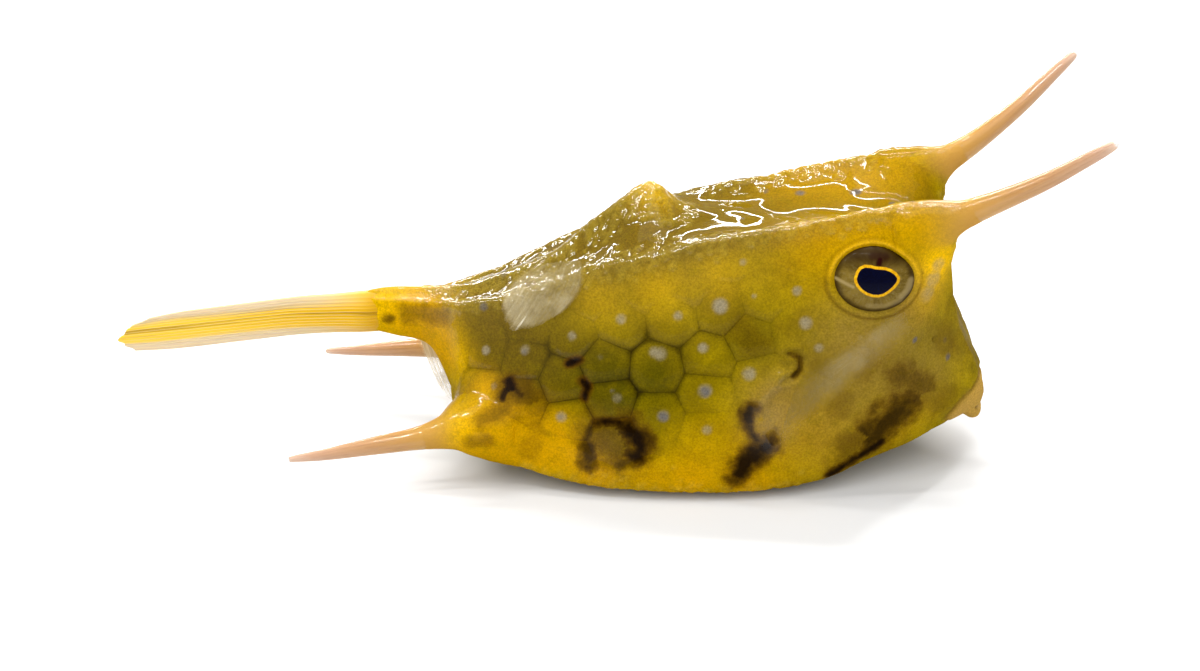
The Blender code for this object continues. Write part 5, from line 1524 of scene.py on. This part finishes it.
def make_tail_fin(material):
    """The long folded tail fin, thick at its root."""
    def place(across, outward):
        reach = 1.0 - TAIL_FIN_ROUNDING * (1 - across) ** 2.6 - TAIL_FIN_UNDERCUT * across**6
        level = table(TAIL_FIN_LEVEL, outward) + (0.5 - across) * table(TAIL_FIN_HEIGHT, outward)
        sway = TAIL_FIN_SWAY * math.sin(4.0 * outward) * outward
        x = TAIL_START_X + CARAPACE_AHEAD + outward * (TAIL_FIN_END_X - TAIL_START_X) * reach
        return (x, sway, level), (0.0, 1.0, 0.0)

    def half_thick(across, outward, on_ray):
        roundness = math.sqrt(max(0.0, 1.0 - (2 * across - 1) ** 2))
        inner = table(TAIL_FIN_FLESH, outward) - FIN_HALF
        return FIN_HALF + (inner + 0.04 * MM * on_ray * min(1.0, 5 * (1 - outward))) * roundness

    make_fin("tail_fin_dressed", place, half_thick, 13, 104, 130, material, "tail_fin", 0.02)


def make_laid_fin(name, lines, tree, lifts, *finish):
    """A film laid on the body where its root, bend and edge lines are seen."""
    def place(across, outward):
        spot, normal = seen_at(tree, bent_pixel(lines, across, outward))
        return np.array(spot + normal * (lifts[0] + lifts[1] * outward)), np.array(normal)

    return make_fin(name, place, film, *finish)


def make_anal_fin(material):
    """The small fin under the tail stalk."""
    def place(across, outward):
        base_x = between(ANAL_BASE_X, across) * MM
        base_z = skin([along_at(base_x, BELLY_LINE)], [BELLY_LINE])[0][2] + ANAL_BASE_RISE
        tip_z = ANAL_TIP_Z + ANAL_TIP_BULGE * (2 * across - 1) ** 2
        x = between((base_x, between(ANAL_TIP_X, across) * MM), outward)
        x -= ANAL_BEND * math.sin(math.pi * outward)
        return (x + CARAPACE_AHEAD, 0.0, between((base_z, tip_z), outward)), (0.0, 1.0, 0.0)

    make_fin("anal_fin_dressed", place, film, 7, 60, 60, material, "anal_fin", 0.05)


# Name, place, width, height, power and, if not white, colour of each light; the front fill is
# hidden from reflections, so that it leaves no pale panes on the wet skin
LIGHTS = (
    ("key", (0.06, -0.08, 0.60), 0.6, 0.6, 1.0, (1.0, 0.99, 0.97)),
    ("front_fill", (0.04, -0.50, 0.40), 1.3, 0.6, 4.2, (1.0, 1.0, 1.0), False),
    ("tube_far", (-0.03, 0.42, 0.27), 0.34, 0.009, 1.3),
    ("tube_near", (0.02, 0.22, 0.48), 0.30, 0.008, 0.9),
    ("tube_side", (0.22, 0.26, 0.34), 0.006, 0.26, 0.7),
    ("tube_front", (-0.10, -0.16, 0.52), 0.20, 0.006, 0.6),
    ("tube_ridge", (0.03, 0.08, 0.52), 0.30, 0.007, 0.7),
    ("tube_rear", (-0.33, -0.03, 0.40), 0.007, 0.26, 0.7),
    ("tube_tail", (-0.26, 0.40, 0.25), 0.20, 0.008, 0.6),
)
FISH_MIDDLE, SENSOR_WIDTH = (0.012, 0.0, 0.012), 36.0


def add_light(name, place, size, size_y, power, colour=(1.0, 1.0, 1.0), in_gloss=True):
    """A soft light that faces the fish."""
    light = bpy.data.lights.new(name, "AREA")
    light.shape = "RECTANGLE"
    light.size, light.size_y = size, size_y
    light.energy = power
    light.color = colour
    holder = new_object(name, light)
    holder.location = place
    holder.visible_glossy = in_gloss
    facing_fish = (Vector(FISH_MIDDLE) - Vector(place)).to_track_quat("-Z", "Y")
    holder.rotation_euler = facing_fish.to_euler()


def make_stage():
    """Pale floor, soft studio light and the photograph's camera."""
    bm = bmesh.new()
    bmesh.ops.create_grid(bm, x_segments=4, y_segments=4, size=1.5)
    floor = new_object("floor", to_mesh(bm, "floor"))
    material, tree, shader = new_material("pale_floor", Roughness=0.6)
    shade = tinted(tree, (0.60, 0.60, 0.60), (object_place(tree).noise(9.0), (0.64, 0.64, 0.64)))
    feed(shader.inputs["Base Color"], shade)
    floor.data.materials.append(material)

    world = bpy.data.worlds.new("studio")
    world.use_nodes = True
    background = world.node_tree.nodes["Background"]
    background.inputs[0].default_value = (0.95, 0.97, 1.0, 1.0)
    background.inputs[1].default_value = 0.35
    bpy.context.scene.world = world
    for light in LIGHTS:
        add_light(*light)

    lens = bpy.data.cameras.new("camera")
    lens.sensor_width = SENSOR_WIDTH
    lens.lens = FOCAL_PIXELS * SENSOR_WIDTH / PICTURE_WIDTH
    lens.clip_start = 0.01
    camera = new_object("camera", lens)
    camera.location = CAMERA_PLACE
    camera.rotation_euler = CAMERA_TURN
    bpy.context.scene.camera = camera
    bpy.context.scene.view_settings.view_transform = "Standard"


def build():
    """Make every piece and the stage."""
    pebbles = pebble_group()
    body_tree = make_skin(hide_material(pebbles))
    make_rods(horn_material(pebbles))
    make_eyes(eye_material())
    glassy = fin_material(
        pebbles, "fin_film", paint(176, 156, 96), paint(206, 190, 150), 0.2, 0.22, 0.12, 0.4, 0.7)
    faint = fin_material(
        pebbles, "faint_film", paint(150, 128, 72), paint(190, 166, 108), 0.1, 0.24, 0.05, 0.15, 0.0)
    pale = fin_material(
        pebbles, "pale_film", paint(226, 200, 150), paint(244, 232, 210), 0.65, 0.34, 0.6, 0.3, 0.5)
    make_tail_fin(tail_material(pebbles))
    make_laid_fin(
        "dorsal_fin_dressed", DORSAL_LINES, body_tree, DORSAL_LIFTS, 14, 112, 60, glassy,
        "dorsal_fin", 0.05,
    )
    right = make_laid_fin(
        "pectoral_fin_right_dressed", PECTORAL_LINES, body_tree, PECTORAL_LIFTS, 10, 90, 70, faint,
        "pectoral_fin_right", 0.03,
    )
    mirrored(right, "pectoral_fin_left_dressed", "fin_membrane", "pectoral_fin_left")
    make_anal_fin(pale)
    make_stage()


build()
